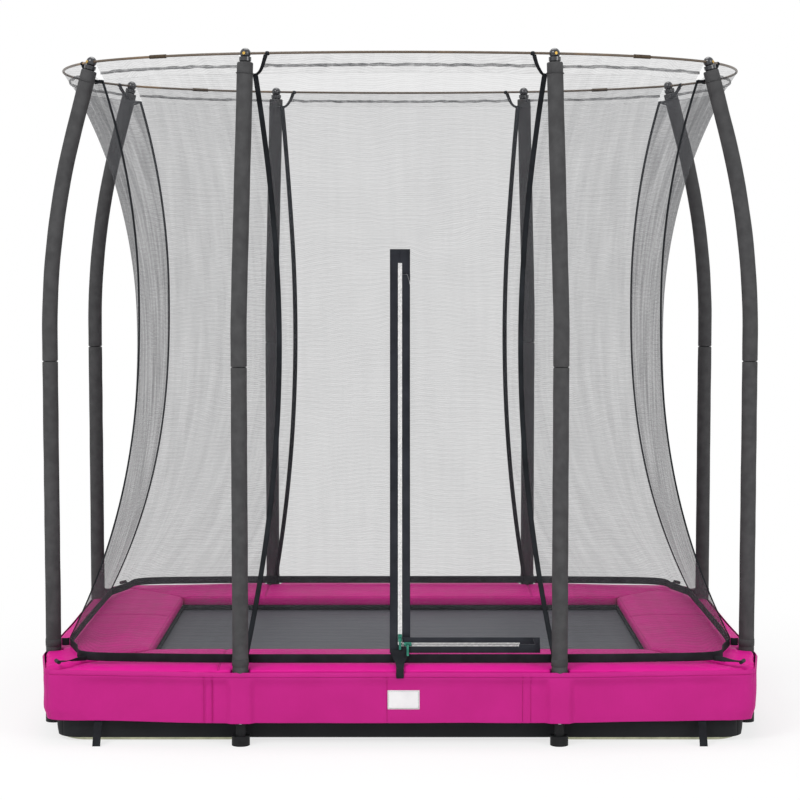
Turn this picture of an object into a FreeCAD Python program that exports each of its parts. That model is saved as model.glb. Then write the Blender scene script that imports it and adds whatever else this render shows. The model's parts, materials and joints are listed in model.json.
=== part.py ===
import FreeCAD, Part
import math
import os
import Sketcher
from FreeCAD import Placement, Rotation, Vector

# Rectangular garden trampoline with a waisted safety net on eight bent poles.
# X runs along the long side, Y away from the door side, Z up; the origin is on the ground
# in the middle of the frame. All lengths are millimetres.

doc = FreeCAD.newDocument("Trampoline")
sheet = doc.addObject("Spreadsheet::Sheet", "Sizes")

SIZES = [
    ("frame_length", 2140, "outer length of the top frame"),
    ("frame_width", 1530, "outer width of the top frame"),
    ("rail_top", 200, "height of the top frame"),
    ("rail_diameter", 42, "top frame tube"),
    ("rail_wall", 1.5, "wall of the top frame tube"),
    ("corner_bend", 50, "bend radius of a corner elbow"),
    ("elbow_wall", 3.3, "wall of a corner elbow"),
    ("elbow_spigot", 40, "elbow end inside a rail"),
    ("fit_gap", 0.3, "clearance of a push fit, all round"),
    ("seat_gap", 0.1, "clearance of a clamped seat"),
    ("socket_length", 35, "leg socket under a rail"),
    ("socket_wall", 1.5, "wall of a leg socket"),
    ("leg_diameter", 36, "leg frame tube"),
    ("leg_wall", 1.5, "wall of the leg frame tube"),
    ("leg_bend", 40, "bend radius at the foot of a leg upright"),
    ("leg_corner", 75, "bend radius of a leg round the corner of the frame"),
    ("pole_diameter", 32, "net pole tube"),
    ("pole_wall", 1.6, "wall of the net pole tube"),
    ("pole_offset", 50, "pole axis outside the frame"),
    ("front_pole_spacing", 982, "between the two front poles, and the two back poles"),
    ("side_pole_spacing", 980, "between the two poles of a side"),
    ("upper_pole", 949, "ring above the joint between lower and upper pole"),
    ("pole_spigot", 60, "upper pole end inside the lower pole"),
    ("spigot_root", 20, "spigot inside its own pole"),
    ("bend_drop", 876, "ring above the start of the bend"),
    ("bend_radius", 2600, "bend radius of the upper pole"),
    ("side_lean", 15, "degrees that a side pole leans in"),
    ("front_lean", 3, "degrees that a front or back pole leans in"),
    ("front_turn", 57, "degrees from the long side to the way a front pole leans"),
    ("cap_stem", 23, "ring above the top of a pole tube"),
    ("foam_diameter", 50, "foam sleeve"),
    ("foam_lift", 12, "lower end of a foam sleeve above the frame"),
    ("foam_short", 4, "upper end of a foam sleeve below the top of its tube"),
    ("foot_diameter", 56, "cap under a pole"),
    ("foot_height", 30, "height of the cap under a pole"),
    ("foot_floor", 4, "thickness of the foot cap under the tube"),
    ("clamp_low", 75, "height of the lower pole bolt"),
    ("clamp_high", 106, "height of the upper pole bolt"),
    ("spacer_diameter", 26, "spacer between pole and leg"),
    ("bolt_diameter", 8, "pole bolt"),
    ("bolt_head", 15, "head and nut of a pole bolt over the corners"),
    ("bolt_head_height", 5, "thickness of the head and the nut"),
    ("ring_height", 2116, "height of the top ring"),
    ("rod_diameter", 8, "fibreglass rod of the top ring"),
    ("front_bulge", 48, "bow of the ring between the front poles"),
    ("side_bulge", 158, "bow of the ring between the side poles"),
    ("corner_bulge", 46, "bow of the ring round a corner"),
    ("rod_end", 5, "rod end to the middle of its cap"),
    ("ferrule_length", 60, "sleeve that joins two corner rods"),
    ("ferrule_diameter", 12, "outside of that sleeve"),
    ("ball_diameter", 33, "ball on a pole cap"),
    ("collar_diameter", 37, "collar of a pole cap"),
    ("collar_height", 12, "height of that collar"),
    ("cap_plug", 30, "part of the cap inside the tube"),
    ("cap_bolt_head", 9, "head of the bolt in the ball"),
    ("cap_bolt_shank", 5, "shank of the bolt in the ball"),
    ("cap_bolt_length", 13, "shank of that bolt"),
    ("cap_bolt_rise", 3, "thickness of its head"),
    ("net_thickness", 2, "gauze of the net"),
    ("net_drop", 56, "ring above the height where the net is tied to the poles"),
    ("band_height", 27.5, "band under the gauze"),
    ("net_steps", 11, "levels that shape the gauze"),
    ("band_lift", 44.5, "lower edge of the band above the frame"),
    ("band_thickness", 3, "band under the gauze"),
    ("band_inset", 1.2, "end of a piece of that band from its seam"),
    ("tape_width", 20, "seam tape"),
    ("tape_thickness", 3, "seam tape"),
    ("tape_gap", 0.8, "seam tape to gauze"),
    ("wall_inset", 260, "front wall inside the frame, at its waist"),
    ("wall_waist_height", 1250, "height of that waist"),
    ("wall_radius", 2000, "radius of the front wall below its flare"),
    ("wall_reach", 10, "middle of the front wall outside the frame, at the tie height"),
    ("flare_height", 1560, "height where the front wall starts to flare to the ring"),
    ("front_seam_inset", 106, "front seam inside its pole, at its waist"),
    ("front_seam_height", 1228, "height of that waist"),
    ("front_seam_radius", 5020, "radius of the front seam below the flare"),
    ("front_seam_upper", 48, "front seam inside its pole, at its tie"),
    ("front_seam_short", 45, "front seam inside the frame, at its tie"),
    ("side_seam_inset", 227, "side seam inside the frame, at its waist"),
    ("side_seam_height", 1350, "height of that waist"),
    ("side_seam_lower", 1, "side seam inside the frame, at the band"),
    ("side_seam_upper", 124, "side seam inside the frame, at its tie"),
    ("side_seam_near", 10, "side seam beside its pole, at both ends"),
    ("side_seam_far", 57, "side seam beside its pole, at its waist"),
    ("side_seam_low_power", 2.4, "how late the side seam flares down"),
    ("side_seam_high_power", 2.05, "how late the side seam flares up"),
    ("side_wall_inset", 185, "middle of a side wall inside the frame, at its waist"),
    ("side_wall_height", 1150, "height of that waist"),
    ("side_wall_lower", 2, "middle of a side wall outside the frame, at the band"),
    ("side_wall_upper", 30, "middle of a side wall outside the frame, at the tie height"),
    ("side_wall_low_power", 2.4, "how late the side wall flares down"),
    ("side_wall_high_power", 2.3, "how late the side wall flares up"),
    ("corner_share", 0.72, "place of a corner of the net along its chord at the band"),
    ("corner_out_foot", 177, "corner of the net outside its chord at the band"),
    ("corner_out_waist", 15, "corner of the net outside its chord at the waist"),
    ("corner_out_top", 75, "corner of the net outside its chord at the ties"),
    ("corner_height", 1200, "height of the waist of a corner"),
    ("corner_round", 0.02, "bow of each half of a corner panel, in parts of its width"),
    ("notch", 66, "ring left free beside a pole"),
    ("cap_clear", 22, "ring left free beside a cap at a corner"),
    ("hem_thickness", 3, "hem under the ring"),
    ("cord_diameter", 6, "binding of a notch and its tie"),
    ("tie_reach", 5, "tie cord outside the seam"),
    ("tie_drop", 4, "tie round a pole below that height"),
    ("zip_tape", 64, "width of the zip tape"),
    ("zip_thickness", 2.5, "zip tape"),
    ("zip_gap", 0.3, "zip tape to gauze"),
    ("zip_base", 276, "lower edge of the zip tape"),
    ("zip_corner", 300, "height where the two zips meet"),
    ("zip_shelf", 20, "lower zip tape above the zip"),
    ("zip_top", 1510, "top of the upright zip"),
    ("zip_reach", 420, "end of the lower zip from the middle"),
    ("zip_margin", 15, "tape beyond the ends of the zips"),
    ("door_gap", 1, "cut between the door flap and the wall"),
    ("door_tack", 64, "sewn-up end of the door opening below the top of the upright zip"),
    ("slider_width", 12, "zip slider"),
    ("slider_length", 24, "zip slider"),
    ("slider_thickness", 5, "zip slider"),
    ("slider_gap", 0.8, "zip slider to tape"),
    ("slider_start", 318, "height of the upright slider when the door is shut"),
    ("slider_side", 24, "middle of the lower slider when the door is shut"),
    ("pull_width", 7, "pull tab"),
    ("pull_length", 40, "pull tab"),
    ("pull_thickness", 1.6, "pull tab"),
    ("pull_barrel", 5.6, "eye of a pull tab"),
    ("pin_diameter", 2.4, "pin of a pull tab"),
    ("pin_rise", 3.6, "pin above its slider"),
    ("lug_thickness", 2, "lug that holds the pin"),
    ("mat_inset", 225, "jumping mat inside the frame, all round"),
    ("mat_corner", 60, "corner radius of the mat"),
    ("mat_drop", 14, "mat below the top of the frame"),
    ("mat_thickness", 3, "jumping mat"),
    ("ring_reach", 11, "ring that a spring hooks into, to its wire's middle"),
    ("ring_wire", 4, "wire of that ring"),
    ("spring_diameter", 18, "coil of a spring"),
    ("spring_lead", 26, "straight wire at each end of a coil"),
    ("spring_wire", 3.5, "wire of a spring's hooks"),
    ("spring_hook", 6, "hook inside the rail"),
    ("spring_hole", 0.5, "hole for a hook, larger than its wire all round"),
    ("spring_inset", 75, "first spring from the end of the mat's side"),
    ("long_side_springs", 15, "springs on a long side"),
    ("short_side_springs", 9, "springs on a short side"),
    ("pad_over_ends", 45, "pad over the mat at its short sides"),
    ("pad_over_sides", 50, "pad over the mat at its long sides"),
    ("pad_lift", 0.3, "pad above the frame"),
    ("pad_rim_rise", 38, "outer roll of a pad above the frame"),
    ("pad_crown_rise", 42, "crown of a pad above the frame"),
    ("pad_inner", 40, "thickness of a pad at the mat"),
    ("pad_roll", 22, "thickness of a pad's outer roll"),
    ("pad_dip", 7, "how much lower a pad is at a sewn end"),
    ("pad_draw", 5, "how far a pad's outer edge draws in between the poles"),
    ("pad_gap", 0.4, "pad to its neighbours and to the skirt"),
    ("pad_notch", 26.5, "radius of the notch round a pole"),
    ("skirt_clear", 0.3, "skirt outside the foam sleeves"),
    ("shoulder_reach", 50, "skirt straight this far past a pole"),
    ("corner_reach", 28, "corner of the skirt outside the frame"),
    ("skirt_thickness", 3, "skirt cloth"),
    ("skirt_rise", 28, "upper edge of the skirt above the frame"),
    ("skirt_height", 157, "height of the skirt"),
    ("cover_gap", 0.5, "ground cover outside the frame"),
    ("cover_thickness", 2, "ground cover sheet"),
    ("cover_below", 1, "upper edge of the ground cover below the frame"),
    ("cover_bottom", 12, "lower edge of the ground cover"),
    ("strap_width", 25, "webbing"),
    ("strap_thickness", 2, "webbing"),
    ("strap_lift", 1.5, "webbing round a pole above the lower edge of the band"),
    ("strap_gap", 0.5, "webbing to the band"),
    ("tail_inset", 136, "ground strap from the end of the frame"),
    ("tail_tuck", 50, "upper end of a ground strap above the lower edge of the skirt"),
    ("tail_reach", 73, "end of a ground strap outside the frame"),
    ("toggle_length", 34, "toggle on a corner strap"),
    ("toggle_diameter", 12, "toggle on a corner strap"),
    ("toggle_inset", 35, "toggle inside the corner of the skirt, each way"),
    ("toggle_clear", 0.6, "toggle above the pad"),
]

# Heights and places that follow from the sizes above

DERIVED = [
    ("tube_top", "ring_height - cap_stem"),
    ("foam_top", "tube_top - foam_short"),
    ("bend_start", "ring_height - bend_drop"),
    ("pole_joint", "ring_height - upper_pole"),
    ("foam_bottom", "rail_top + foam_lift"),
    ("band_bottom", "rail_top + band_lift"),
    ("net_bottom", "band_bottom + band_height"),
    ("net_top", "ring_height - net_drop"),
    ("tie_height", "net_top - tie_drop"),
    ("wall_waist", "frame_width / 2 - wall_inset"),
    ("wall_top", "frame_width / 2 + wall_reach"),
    ("front_seam_waist", "front_pole_spacing / 2 - front_seam_inset"),
    ("front_seam_top", "front_pole_spacing / 2 - front_seam_upper"),
    ("front_seam_depth", "frame_width / 2 - front_seam_short"),
    ("side_seam_waist", "frame_length / 2 - side_seam_inset"),
    ("side_seam_foot", "frame_length / 2 - side_seam_lower"),
    ("side_seam_top", "frame_length / 2 - side_seam_upper"),
    ("side_seam_depth", "side_pole_spacing / 2 - side_seam_near"),
    ("side_seam_narrow", "side_pole_spacing / 2 - side_seam_far"),
    ("side_wall_waist", "frame_length / 2 - side_wall_inset"),
    ("side_wall_foot", "frame_length / 2 + side_wall_lower"),
    ("side_wall_top", "frame_length / 2 + side_wall_upper"),
    ("mat_length", "frame_length - 2 * mat_inset"),
    ("mat_width", "frame_width - 2 * mat_inset"),
    ("mat_top", "rail_top - mat_drop"),
    ("pad_opening_length", "mat_length - 2 * pad_over_ends"),
    ("pad_opening_width", "mat_width - 2 * pad_over_sides"),
    ("pad_rim", "rail_top + pad_rim_rise"),
    ("pad_crown", "rail_top + pad_crown_rise"),
    ("front_shoulder", "front_pole_spacing / 2 + shoulder_reach"),
    ("side_shoulder", "side_pole_spacing / 2 + shoulder_reach"),
    ("skirt_top", "rail_top + skirt_rise"),
    ("skirt_bottom", "skirt_top - skirt_height"),
    ("cover_top", "rail_top - cover_below"),
    ("strap_height", "band_bottom + strap_lift"),
    ("tail_place", "frame_length / 2 - tail_inset"),
    ("tail_top", "skirt_bottom + tail_tuck"),
    ("tail_foot", "frame_width / 2 + tail_reach"),
]

for row, (alias, number, note) in enumerate(SIZES, 1):
    sheet.set("A%d" % row, alias)
    sheet.set("B%d" % row, str(number))
    sheet.set("C%d" % row, note)
    sheet.setAlias("B%d" % row, alias)
doc.recompute()
for row, (alias, formula) in enumerate(DERIVED, len(SIZES) + 1):
    sheet.set("A%d" % row, alias)
    sheet.set("B%d" % row, "=" + formula)
    sheet.setAlias("B%d" % row, alias)
doc.recompute()


def value(expression):
    """An expression over the sheet as a number."""
    result = sheet.evalExpression(expression)
    return float(getattr(result, "Value", result))


def size(alias):
    """One cell of the sheet as a number."""
    return float(sheet.get(alias))


nodes = []


def node(item, label):
    """Name a sub-part; its label is the name of its file."""
    item.Label = label
    nodes.append(item)
    return item


def put(item, x, y, z, rotation):
    """Place an item by expressions over the sheet."""
    item.Placement = Placement(Vector(0, 0, 0), rotation)
    item.setExpression("Placement.Base.x", x)
    item.setExpression("Placement.Base.y", y)
    item.setExpression("Placement.Base.z", z)
    return item


UPRIGHT = Rotation()
ALONG_X = Rotation(Vector(0, 1, 0), 90)
ALONG_Y = Rotation(Vector(1, 0, 0), -90)


def cylinder(name, radius, height):
    """A cylinder bound to the sheet, up from the origin."""
    item = doc.addObject("Part::Cylinder", name)
    item.setExpression("Radius", radius)
    item.setExpression("Height", height)
    return item


def rod(name, radius, height, x, y, z="0", rotation=UPRIGHT):
    """A cylinder bound to the sheet, placed by it too."""
    return put(cylinder(name, radius, height), x, y, z, rotation)


def quarter(name, bend, radius, x, y, z, rotation):
    """A quarter of a torus from +X to +Y of its own frame."""
    item = doc.addObject("Part::Torus", name)
    item.setExpression("Radius1", bend)
    item.setExpression("Radius2", radius)
    item.Angle3 = 90
    return put(item, x, y, z, rotation)


def hexagon(name, corner_radius, height, x, y, z, rotation):
    """A bolt head or nut bound to the sheet."""
    item = doc.addObject("Part::Prism", name)
    item.Polygon = 6
    item.setExpression("Circumradius", corner_radius)
    item.setExpression("Height", height)
    return put(item, x, y, z, rotation)


def fuse(name, items):
    item = doc.addObject("Part::MultiFuse", name)
    item.Shapes = items
    item.Refine = True
    return item


def cut(name, base, tools):
    item = doc.addObject("Part::Cut", name)
    item.Base = base
    item.Tool = tools[0] if len(tools) == 1 else fuse(name + "_tools", tools)
    return item


def common(name, base, tool):
    item = doc.addObject("Part::Common", name)
    item.Base = base
    item.Tool = tool
    return item


def group(name, items):
    """Separate solids that share one node."""
    item = doc.addObject("Part::Compound", name)
    item.Links = items
    return item


def mirror(name, source, normal):
    item = doc.addObject("Part::Mirroring", name)
    item.Source = source
    item.Base = Vector(0, 0, 0)
    item.Normal = normal
    return item


LEFT_RIGHT = Vector(1, 0, 0)
FRONT_BACK = Vector(0, 1, 0)


def corners(name, source):
    """The piece at the front left and its mirror images at the front right, back left and back right."""
    right = mirror(name + "_front_right", source, LEFT_RIGHT)
    back = mirror(name + "_back_left", source, FRONT_BACK)
    return [source, right, back, mirror(name + "_back_right", right, FRONT_BACK)]


def feature(name, shape):
    """A shape that no primitive or body makes, worked out from the sheet's values."""
    item = doc.addObject("Part::Feature", name)
    item.Shape = shape
    item.Placement = Placement()
    return item


def feature_node(label, shapes):
    """A node of one or more such shapes."""
    shape = shapes[0] if len(shapes) == 1 else Part.makeCompound(shapes)
    return node(feature(label + "_shape", shape), label)


def tilt(item, base, axis):
    """Place an item made along Z at a point, along an axis."""
    item.Placement = Placement(base, Rotation(Vector(0, 0, 1), axis))
    return item


# Bent tubes: a ring section swept along a chain of tangent lines and arcs

def origin_plane(body, role):
    return [item for item in body.Origin.OriginFeatures if item.Role == role][0]


def bound(sketch, constraint, expression):
    """A sketch size that follows the sheet."""
    index = sketch.addConstraint(constraint)
    sketch.setExpression("Constraints[%d]" % index, expression)


def body_sketch(body, name, role):
    sketch = body.newObject("Sketcher::SketchObject", name)
    sketch.AttachmentSupport = [(origin_plane(body, role), "")]
    sketch.MapMode = "FlatFace"
    return sketch


def ring_sketch(body, name, radii):
    """Circles round the body's axis."""
    sketch = body_sketch(body, name, "XY_Plane")
    for radius in radii:
        circle = Part.Circle(Vector(0, 0, 0), Vector(0, 0, 1), value(radius))
        item = sketch.addGeometry(circle, False)
        sketch.addConstraint(Sketcher.Constraint("Coincident", item, 3, -1, 1))
        bound(sketch, Sketcher.Constraint("Radius", item, value(radius)), radius)
    return sketch


def leaning_sketch(body, name, straight, radius, lean, rest):
    """A line up the axis, an arc that leans to +X, and a line on from it."""
    sketch = body_sketch(body, name, "XZ_Plane")
    reach = value(radius)
    angle = math.radians(value(lean))
    low = Vector(0, value(straight), 0)
    centre = low + Vector(reach, 0, 0)
    high = centre + Vector(-math.cos(angle), math.sin(angle), 0) * reach
    tip = high + Vector(math.sin(angle), math.cos(angle), 0) * value(rest)
    first = sketch.addGeometry(Part.LineSegment(Vector(0, 0, 0), low), False)
    circle = Part.Circle(centre, Vector(0, 0, 1), reach)
    bend = sketch.addGeometry(Part.ArcOfCircle(circle, math.pi - angle, math.pi), False)
    last = sketch.addGeometry(Part.LineSegment(high, tip), False)
    sketch.addConstraint(Sketcher.Constraint("Coincident", first, 1, -1, 1))
    sketch.addConstraint(Sketcher.Constraint("Vertical", first))
    sketch.addConstraint(Sketcher.Constraint("Tangent", first, 2, bend, 2))
    sketch.addConstraint(Sketcher.Constraint("Tangent", bend, 1, last, 1))
    bound(sketch, Sketcher.Constraint("Distance", first, value(straight)), straight)
    bound(sketch, Sketcher.Constraint("Radius", bend, reach), radius)
    bound(sketch, Sketcher.Constraint("Angle", bend, angle), "(%s) * 1deg" % lean)
    bound(sketch, Sketcher.Constraint("Distance", last, value(rest)), rest)
    return sketch


def leaning_tube(name, outer, inner, top, lean):
    """A hollow tube from the pole joint up to a height, bent like the upper pole."""
    body = doc.addObject("PartDesign::Body", name)
    angle = "%s * 1deg" % lean
    straight = "Sizes.bend_start - Sizes.pole_joint"
    rise = "%s - Sizes.bend_start - Sizes.bend_radius * sin(%s)" % (top, angle)
    rest = "(%s) / cos(%s)" % (rise, angle)
    section = ring_sketch(body, name + "_section", (outer, inner))
    route = leaning_sketch(body, name + "_route", straight, "Sizes.bend_radius", lean, rest)
    doc.recompute()
    pipe = body.newObject("PartDesign::AdditivePipe", name + "_pipe")
    pipe.Profile = section
    pipe.Spine = (route, ["Edge1", "Edge2", "Edge3"])
    return body


def hollow(name, pieces, outer, inner):
    """A tube of straight lengths and quarter bends, each given with its place and rotation."""
    skins = []
    for skin, radius in (("outer", outer), ("inner", inner)):
        solids = []
        for index, (kind, reach, x, y, z, rotation) in enumerate(pieces):
            title = "%s_%s%d" % (name, skin, index)
            if kind == "straight":
                solids.append(rod(title, radius, reach, x, y, z, rotation))
            else:
                solids.append(quarter(title, reach, radius, x, y, z, rotation))
        skins.append(fuse("%s_%s" % (name, skin), solids))
    return cut(name + "_tube", skins[0], [skins[1]])


# Places that the frame, the legs and the poles share

RAIL_Z = "(Sizes.rail_top - Sizes.rail_diameter / 2)"
RAIL_X = "(Sizes.frame_length / 2 - Sizes.rail_diameter / 2)"
RAIL_Y = "(Sizes.frame_width / 2 - Sizes.rail_diameter / 2)"
CORNER_X = "(Sizes.frame_length / 2 - Sizes.corner_bend - Sizes.rail_diameter / 2)"
CORNER_Y = "(Sizes.frame_width / 2 - Sizes.corner_bend - Sizes.rail_diameter / 2)"
RAIL_BORE = "(Sizes.rail_diameter / 2 - Sizes.rail_wall)"
SOCKET_BORE = "(Sizes.leg_diameter / 2 + Sizes.fit_gap)"
SOCKET_LOW = "(Sizes.rail_top - Sizes.rail_diameter - Sizes.socket_length)"
POLE_X = "(Sizes.front_pole_spacing / 2)"
POLE_Y = "(Sizes.side_pole_spacing / 2)"
FRONT_Y = "(Sizes.frame_width / 2 + Sizes.pole_offset)"
SIDE_X = "(Sizes.frame_length / 2 + Sizes.pole_offset)"
LEG_REACH = "(Sizes.pole_offset + Sizes.rail_diameter / 2)"


# Springs: where each one starts at the mat's edge, and the way it points

def spring_places():
    places = []
    half_long = size("mat_length") / 2
    half_short = size("mat_width") / 2
    inset = size("spring_inset")
    for side in (-1, 1):
        for share in shares(int(size("long_side_springs"))):
            start = Vector(share * (half_long - inset), half_short * side, 0)
            places.append((start, Vector(0, side, 0)))
        for share in shares(int(size("short_side_springs"))):
            start = Vector(half_long * side, share * (half_short - inset), 0)
            places.append((start, Vector(side, 0, 0)))
    return places


def shares(count):
    """Even steps from -1 to 1."""
    return [2.0 * index / (count - 1) - 1 for index in range(count)]


RING_Z = size("mat_top") - size("mat_thickness") / 2
SPRING_Z = RING_Z + size("ring_wire") / 2 + size("spring_wire") / 2 + size("fit_gap")
SPRINGS = spring_places()


def rail_face(way):
    """How far the rail's inner face is from the middle, at the height of the springs."""
    lift = SPRING_Z - value(RAIL_Z)
    axis = value(RAIL_X) if way.x else value(RAIL_Y)
    return axis - math.sqrt((size("rail_diameter") / 2) ** 2 - lift ** 2)


def hook_holes(side):
    """Drills for the hooks in the rail on one side, given as the way the springs point there."""
    drills = []
    radius = size("spring_wire") / 2 + size("spring_hole")
    for start, way in SPRINGS:
        if way == side:
            edge = abs(start.dot(way))
            near = start + way * (rail_face(way) - size("rail_wall") - edge) + Vector(0, 0, SPRING_Z)
            drills.append(Part.makeCylinder(radius, size("rail_diameter") / 2, near, way))
    return drills


# Top frame: four rails with leg sockets, joined by push-fit elbows

def rail(label, length, x, y, rotation, sockets, side):
    """A straight top rail with its leg sockets and the holes for its springs."""
    tube = rod(label + "_tube", "Sizes.rail_diameter / 2", length, x, y, RAIL_Z, rotation)
    bore = rod(label + "_bore", RAIL_BORE, length, x, y, RAIL_Z, rotation)
    solids = [tube]
    hollows = [bore, feature(label + "_holes", Part.makeCompound(hook_holes(side)))]
    for index, (socket_x, socket_y) in enumerate(sockets):
        title = "%s_socket%d" % (label, index)
        height = "Sizes.socket_length + Sizes.rail_diameter / 2"
        solids.append(rod(title, SOCKET_BORE + " + Sizes.socket_wall", height, socket_x, socket_y, SOCKET_LOW))
        hollows.append(rod(title + "_bore", SOCKET_BORE, "Sizes.socket_length", socket_x, socket_y, SOCKET_LOW))
    return node(cut(label + "_cut", fuse(label + "_body", solids), hollows), label)


for label, sign, way in (("rail_front", "-", -1), ("rail_back", "", 1)):
    places = [("-" + POLE_X, sign + RAIL_Y), (POLE_X, sign + RAIL_Y)]
    rail(label, "2 * " + CORNER_X, "-" + CORNER_X, sign + RAIL_Y, ALONG_X, places, Vector(0, way, 0))
for label, sign, way in (("rail_left", "-", -1), ("rail_right", "", 1)):
    places = [(sign + RAIL_X, "-" + POLE_Y), (sign + RAIL_X, POLE_Y)]
    rail(label, "2 * " + CORNER_Y, sign + RAIL_X, "-" + CORNER_Y, ALONG_Y, places, Vector(way, 0, 0))

half_turn = Rotation(Vector(0, 0, 1), 180)
elbow_bore = "(Sizes.rail_diameter / 2 - Sizes.elbow_wall)"
elbow_skin = []
elbow_core = []
for store, stem, bend_radius, end_radius in (
    (elbow_skin, "elbow_skin", "Sizes.rail_diameter / 2", RAIL_BORE + " - Sizes.fit_gap"),
    (elbow_core, "elbow_core", elbow_bore, elbow_bore),
):
    store.append(quarter(stem, "Sizes.corner_bend", bend_radius, "-" + CORNER_X, "-" + CORNER_Y, RAIL_Z, half_turn))
    store.append(rod(stem + "_long", end_radius, "Sizes.elbow_spigot", "-" + CORNER_X, "-" + RAIL_Y,
                     RAIL_Z, ALONG_X))
    store.append(rod(stem + "_short", end_radius, "Sizes.elbow_spigot", "-" + RAIL_X, "-" + CORNER_Y,
                     RAIL_Z, ALONG_Y))
elbow = cut("elbow", fuse("elbow_outside", elbow_skin), elbow_core)
node(group("elbows", corners("elbow", elbow)), "corner_elbows")


# Clamps: two bolts through each pole, with a spacer and the leg upright behind it

POLES = {
    "front": ("-" + POLE_X, "-" + FRONT_Y, "-" + POLE_X, "-" + RAIL_Y, ALONG_Y),
    "side": ("-" + SIDE_X, "-" + POLE_Y, "-" + RAIL_X, "-" + POLE_Y, ALONG_X),
}
CLAMPS = ("Sizes.clamp_low", "Sizes.clamp_high")
POLE_RADIUS = "Sizes.pole_diameter / 2"
LEG_RADIUS = "Sizes.leg_diameter / 2"
BOLT_RADIUS = "Sizes.bolt_diameter / 2"
HEAD = "Sizes.bolt_head_height"


def across(pole, shift):
    """A point on a clamp's line, by its distance from the pole's axis towards the leg."""
    x, y = POLES[pole][0:2]
    if pole == "front":
        return x, "%s + (%s)" % (y, shift)
    return "%s + (%s)" % (x, shift), y


def clamp_rod(name, pole, radius, start, length, height):
    x, y = across(pole, start)
    return rod(name, radius, length, x, y, height, POLES[pole][4])


def clamp_drills(name, pole):
    """Drills for both bolts, from outside the pole to behind the leg."""
    drills = []
    for index, height in enumerate(CLAMPS):
        length = LEG_REACH + " + Sizes.pole_diameter + Sizes.leg_diameter"
        drills.append(clamp_rod("%s%d" % (name, index), pole, BOLT_RADIUS + " + Sizes.fit_gap",
                                "-Sizes.pole_diameter", length, height))
    return drills


spacers = []
bolts = []
nuts = []
for pole, (pole_x, pole_y, leg_x, leg_y, rotation) in POLES.items():
    for index, height in enumerate(CLAMPS):
        title = "%s_clamp%d" % (pole, index)
        core = clamp_rod(title + "_spacer", pole, "Sizes.spacer_diameter / 2", "0", LEG_REACH, height)
        tall = "Sizes.clamp_high + Sizes.spacer_diameter"
        pole_seat = rod(title + "_pole_seat", POLE_RADIUS + " + Sizes.seat_gap", tall, pole_x, pole_y)
        leg_seat = rod(title + "_leg_seat", LEG_RADIUS + " + Sizes.seat_gap", tall, leg_x, leg_y)
        drill = clamp_rod(title + "_drill", pole, BOLT_RADIUS + " + Sizes.fit_gap", "0", LEG_REACH, height)
        spacers += corners(title + "_spacer_copy", cut(title + "_spacer_cut", core, [pole_seat, leg_seat, drill]))

        shank = clamp_rod(title + "_shank", pole, BOLT_RADIUS, "-(%s + %s / 2)" % (POLE_RADIUS, HEAD),
                          "%s + %s + %s + 1.5 * %s" % (POLE_RADIUS, LEG_REACH, LEG_RADIUS, HEAD), height)
        x, y = across(pole, "-(%s + %s)" % (POLE_RADIUS, HEAD))
        head = hexagon(title + "_head", "Sizes.bolt_head / 2", HEAD, x, y, height, rotation)
        bolts += corners(title + "_bolt_copy", fuse(title + "_bolt", [head, shank]))

        x, y = across(pole, "%s + %s" % (LEG_REACH, LEG_RADIUS))
        blank = hexagon(title + "_nut", "Sizes.bolt_head / 2", HEAD, x, y, height, rotation)
        thread = clamp_rod(title + "_thread", pole, BOLT_RADIUS + " + Sizes.seat_gap", LEG_REACH,
                           "Sizes.leg_diameter + " + HEAD, height)
        nuts += corners(title + "_nut_copy", cut(title + "_nut_cut", blank, [thread]))
node(group("spacers", spacers), "pole_spacers")
node(group("bolts", bolts), "pole_bolts")
node(group("nuts", nuts), "pole_nuts")


# Legs: one tube at each corner, down from its front socket, round the corner and up to its side socket

BASE_Z = "(Sizes.leg_diameter / 2)"
FOOT_Z = "(Sizes.leg_diameter / 2 + Sizes.leg_bend)"
UPRIGHT_RISE = "Sizes.rail_top - Sizes.rail_diameter - Sizes.fit_gap - " + FOOT_Z
TURN_X = "(%s - Sizes.leg_corner)" % RAIL_X
TURN_Y = "(%s - Sizes.leg_corner)" % RAIL_Y
FOOT_X = "(%s + Sizes.leg_bend)" % POLE_X
FOOT_Y = "(%s + Sizes.leg_bend)" % POLE_Y
front_foot = Rotation(Vector(1, 0, 0), Vector(0, 0, -1), Vector(0, 1, 0), "XYZ")
side_foot = Rotation(Vector(0, 1, 0), Vector(0, 0, -1), Vector(-1, 0, 0), "XYZ")
leg_pieces = [
    ("straight", UPRIGHT_RISE, "-" + POLE_X, "-" + RAIL_Y, FOOT_Z, UPRIGHT),
    ("bend", "Sizes.leg_bend", "-" + FOOT_X, "-" + RAIL_Y, FOOT_Z, front_foot),
    ("straight", TURN_X + " - " + FOOT_X, "-" + TURN_X, "-" + RAIL_Y, BASE_Z, ALONG_X),
    ("bend", "Sizes.leg_corner", "-" + TURN_X, "-" + TURN_Y, BASE_Z, half_turn),
    ("straight", TURN_Y + " - " + FOOT_Y, "-" + RAIL_X, "-" + TURN_Y, BASE_Z, ALONG_Y),
    ("bend", "Sizes.leg_bend", "-" + RAIL_X, "-" + FOOT_Y, FOOT_Z, side_foot),
    ("straight", UPRIGHT_RISE, "-" + RAIL_X, "-" + POLE_Y, FOOT_Z, UPRIGHT),
]
leg_tube = hollow("leg", leg_pieces, LEG_RADIUS, LEG_RADIUS + " - Sizes.leg_wall")
leg = cut("leg_drilled", leg_tube, clamp_drills("leg_hole_front", "front") + clamp_drills("leg_hole_side", "side"))
for item, label in zip(corners("leg", leg), ("front_left", "front_right", "back_left", "back_right")):
    node(item, "leg_" + label)


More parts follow.
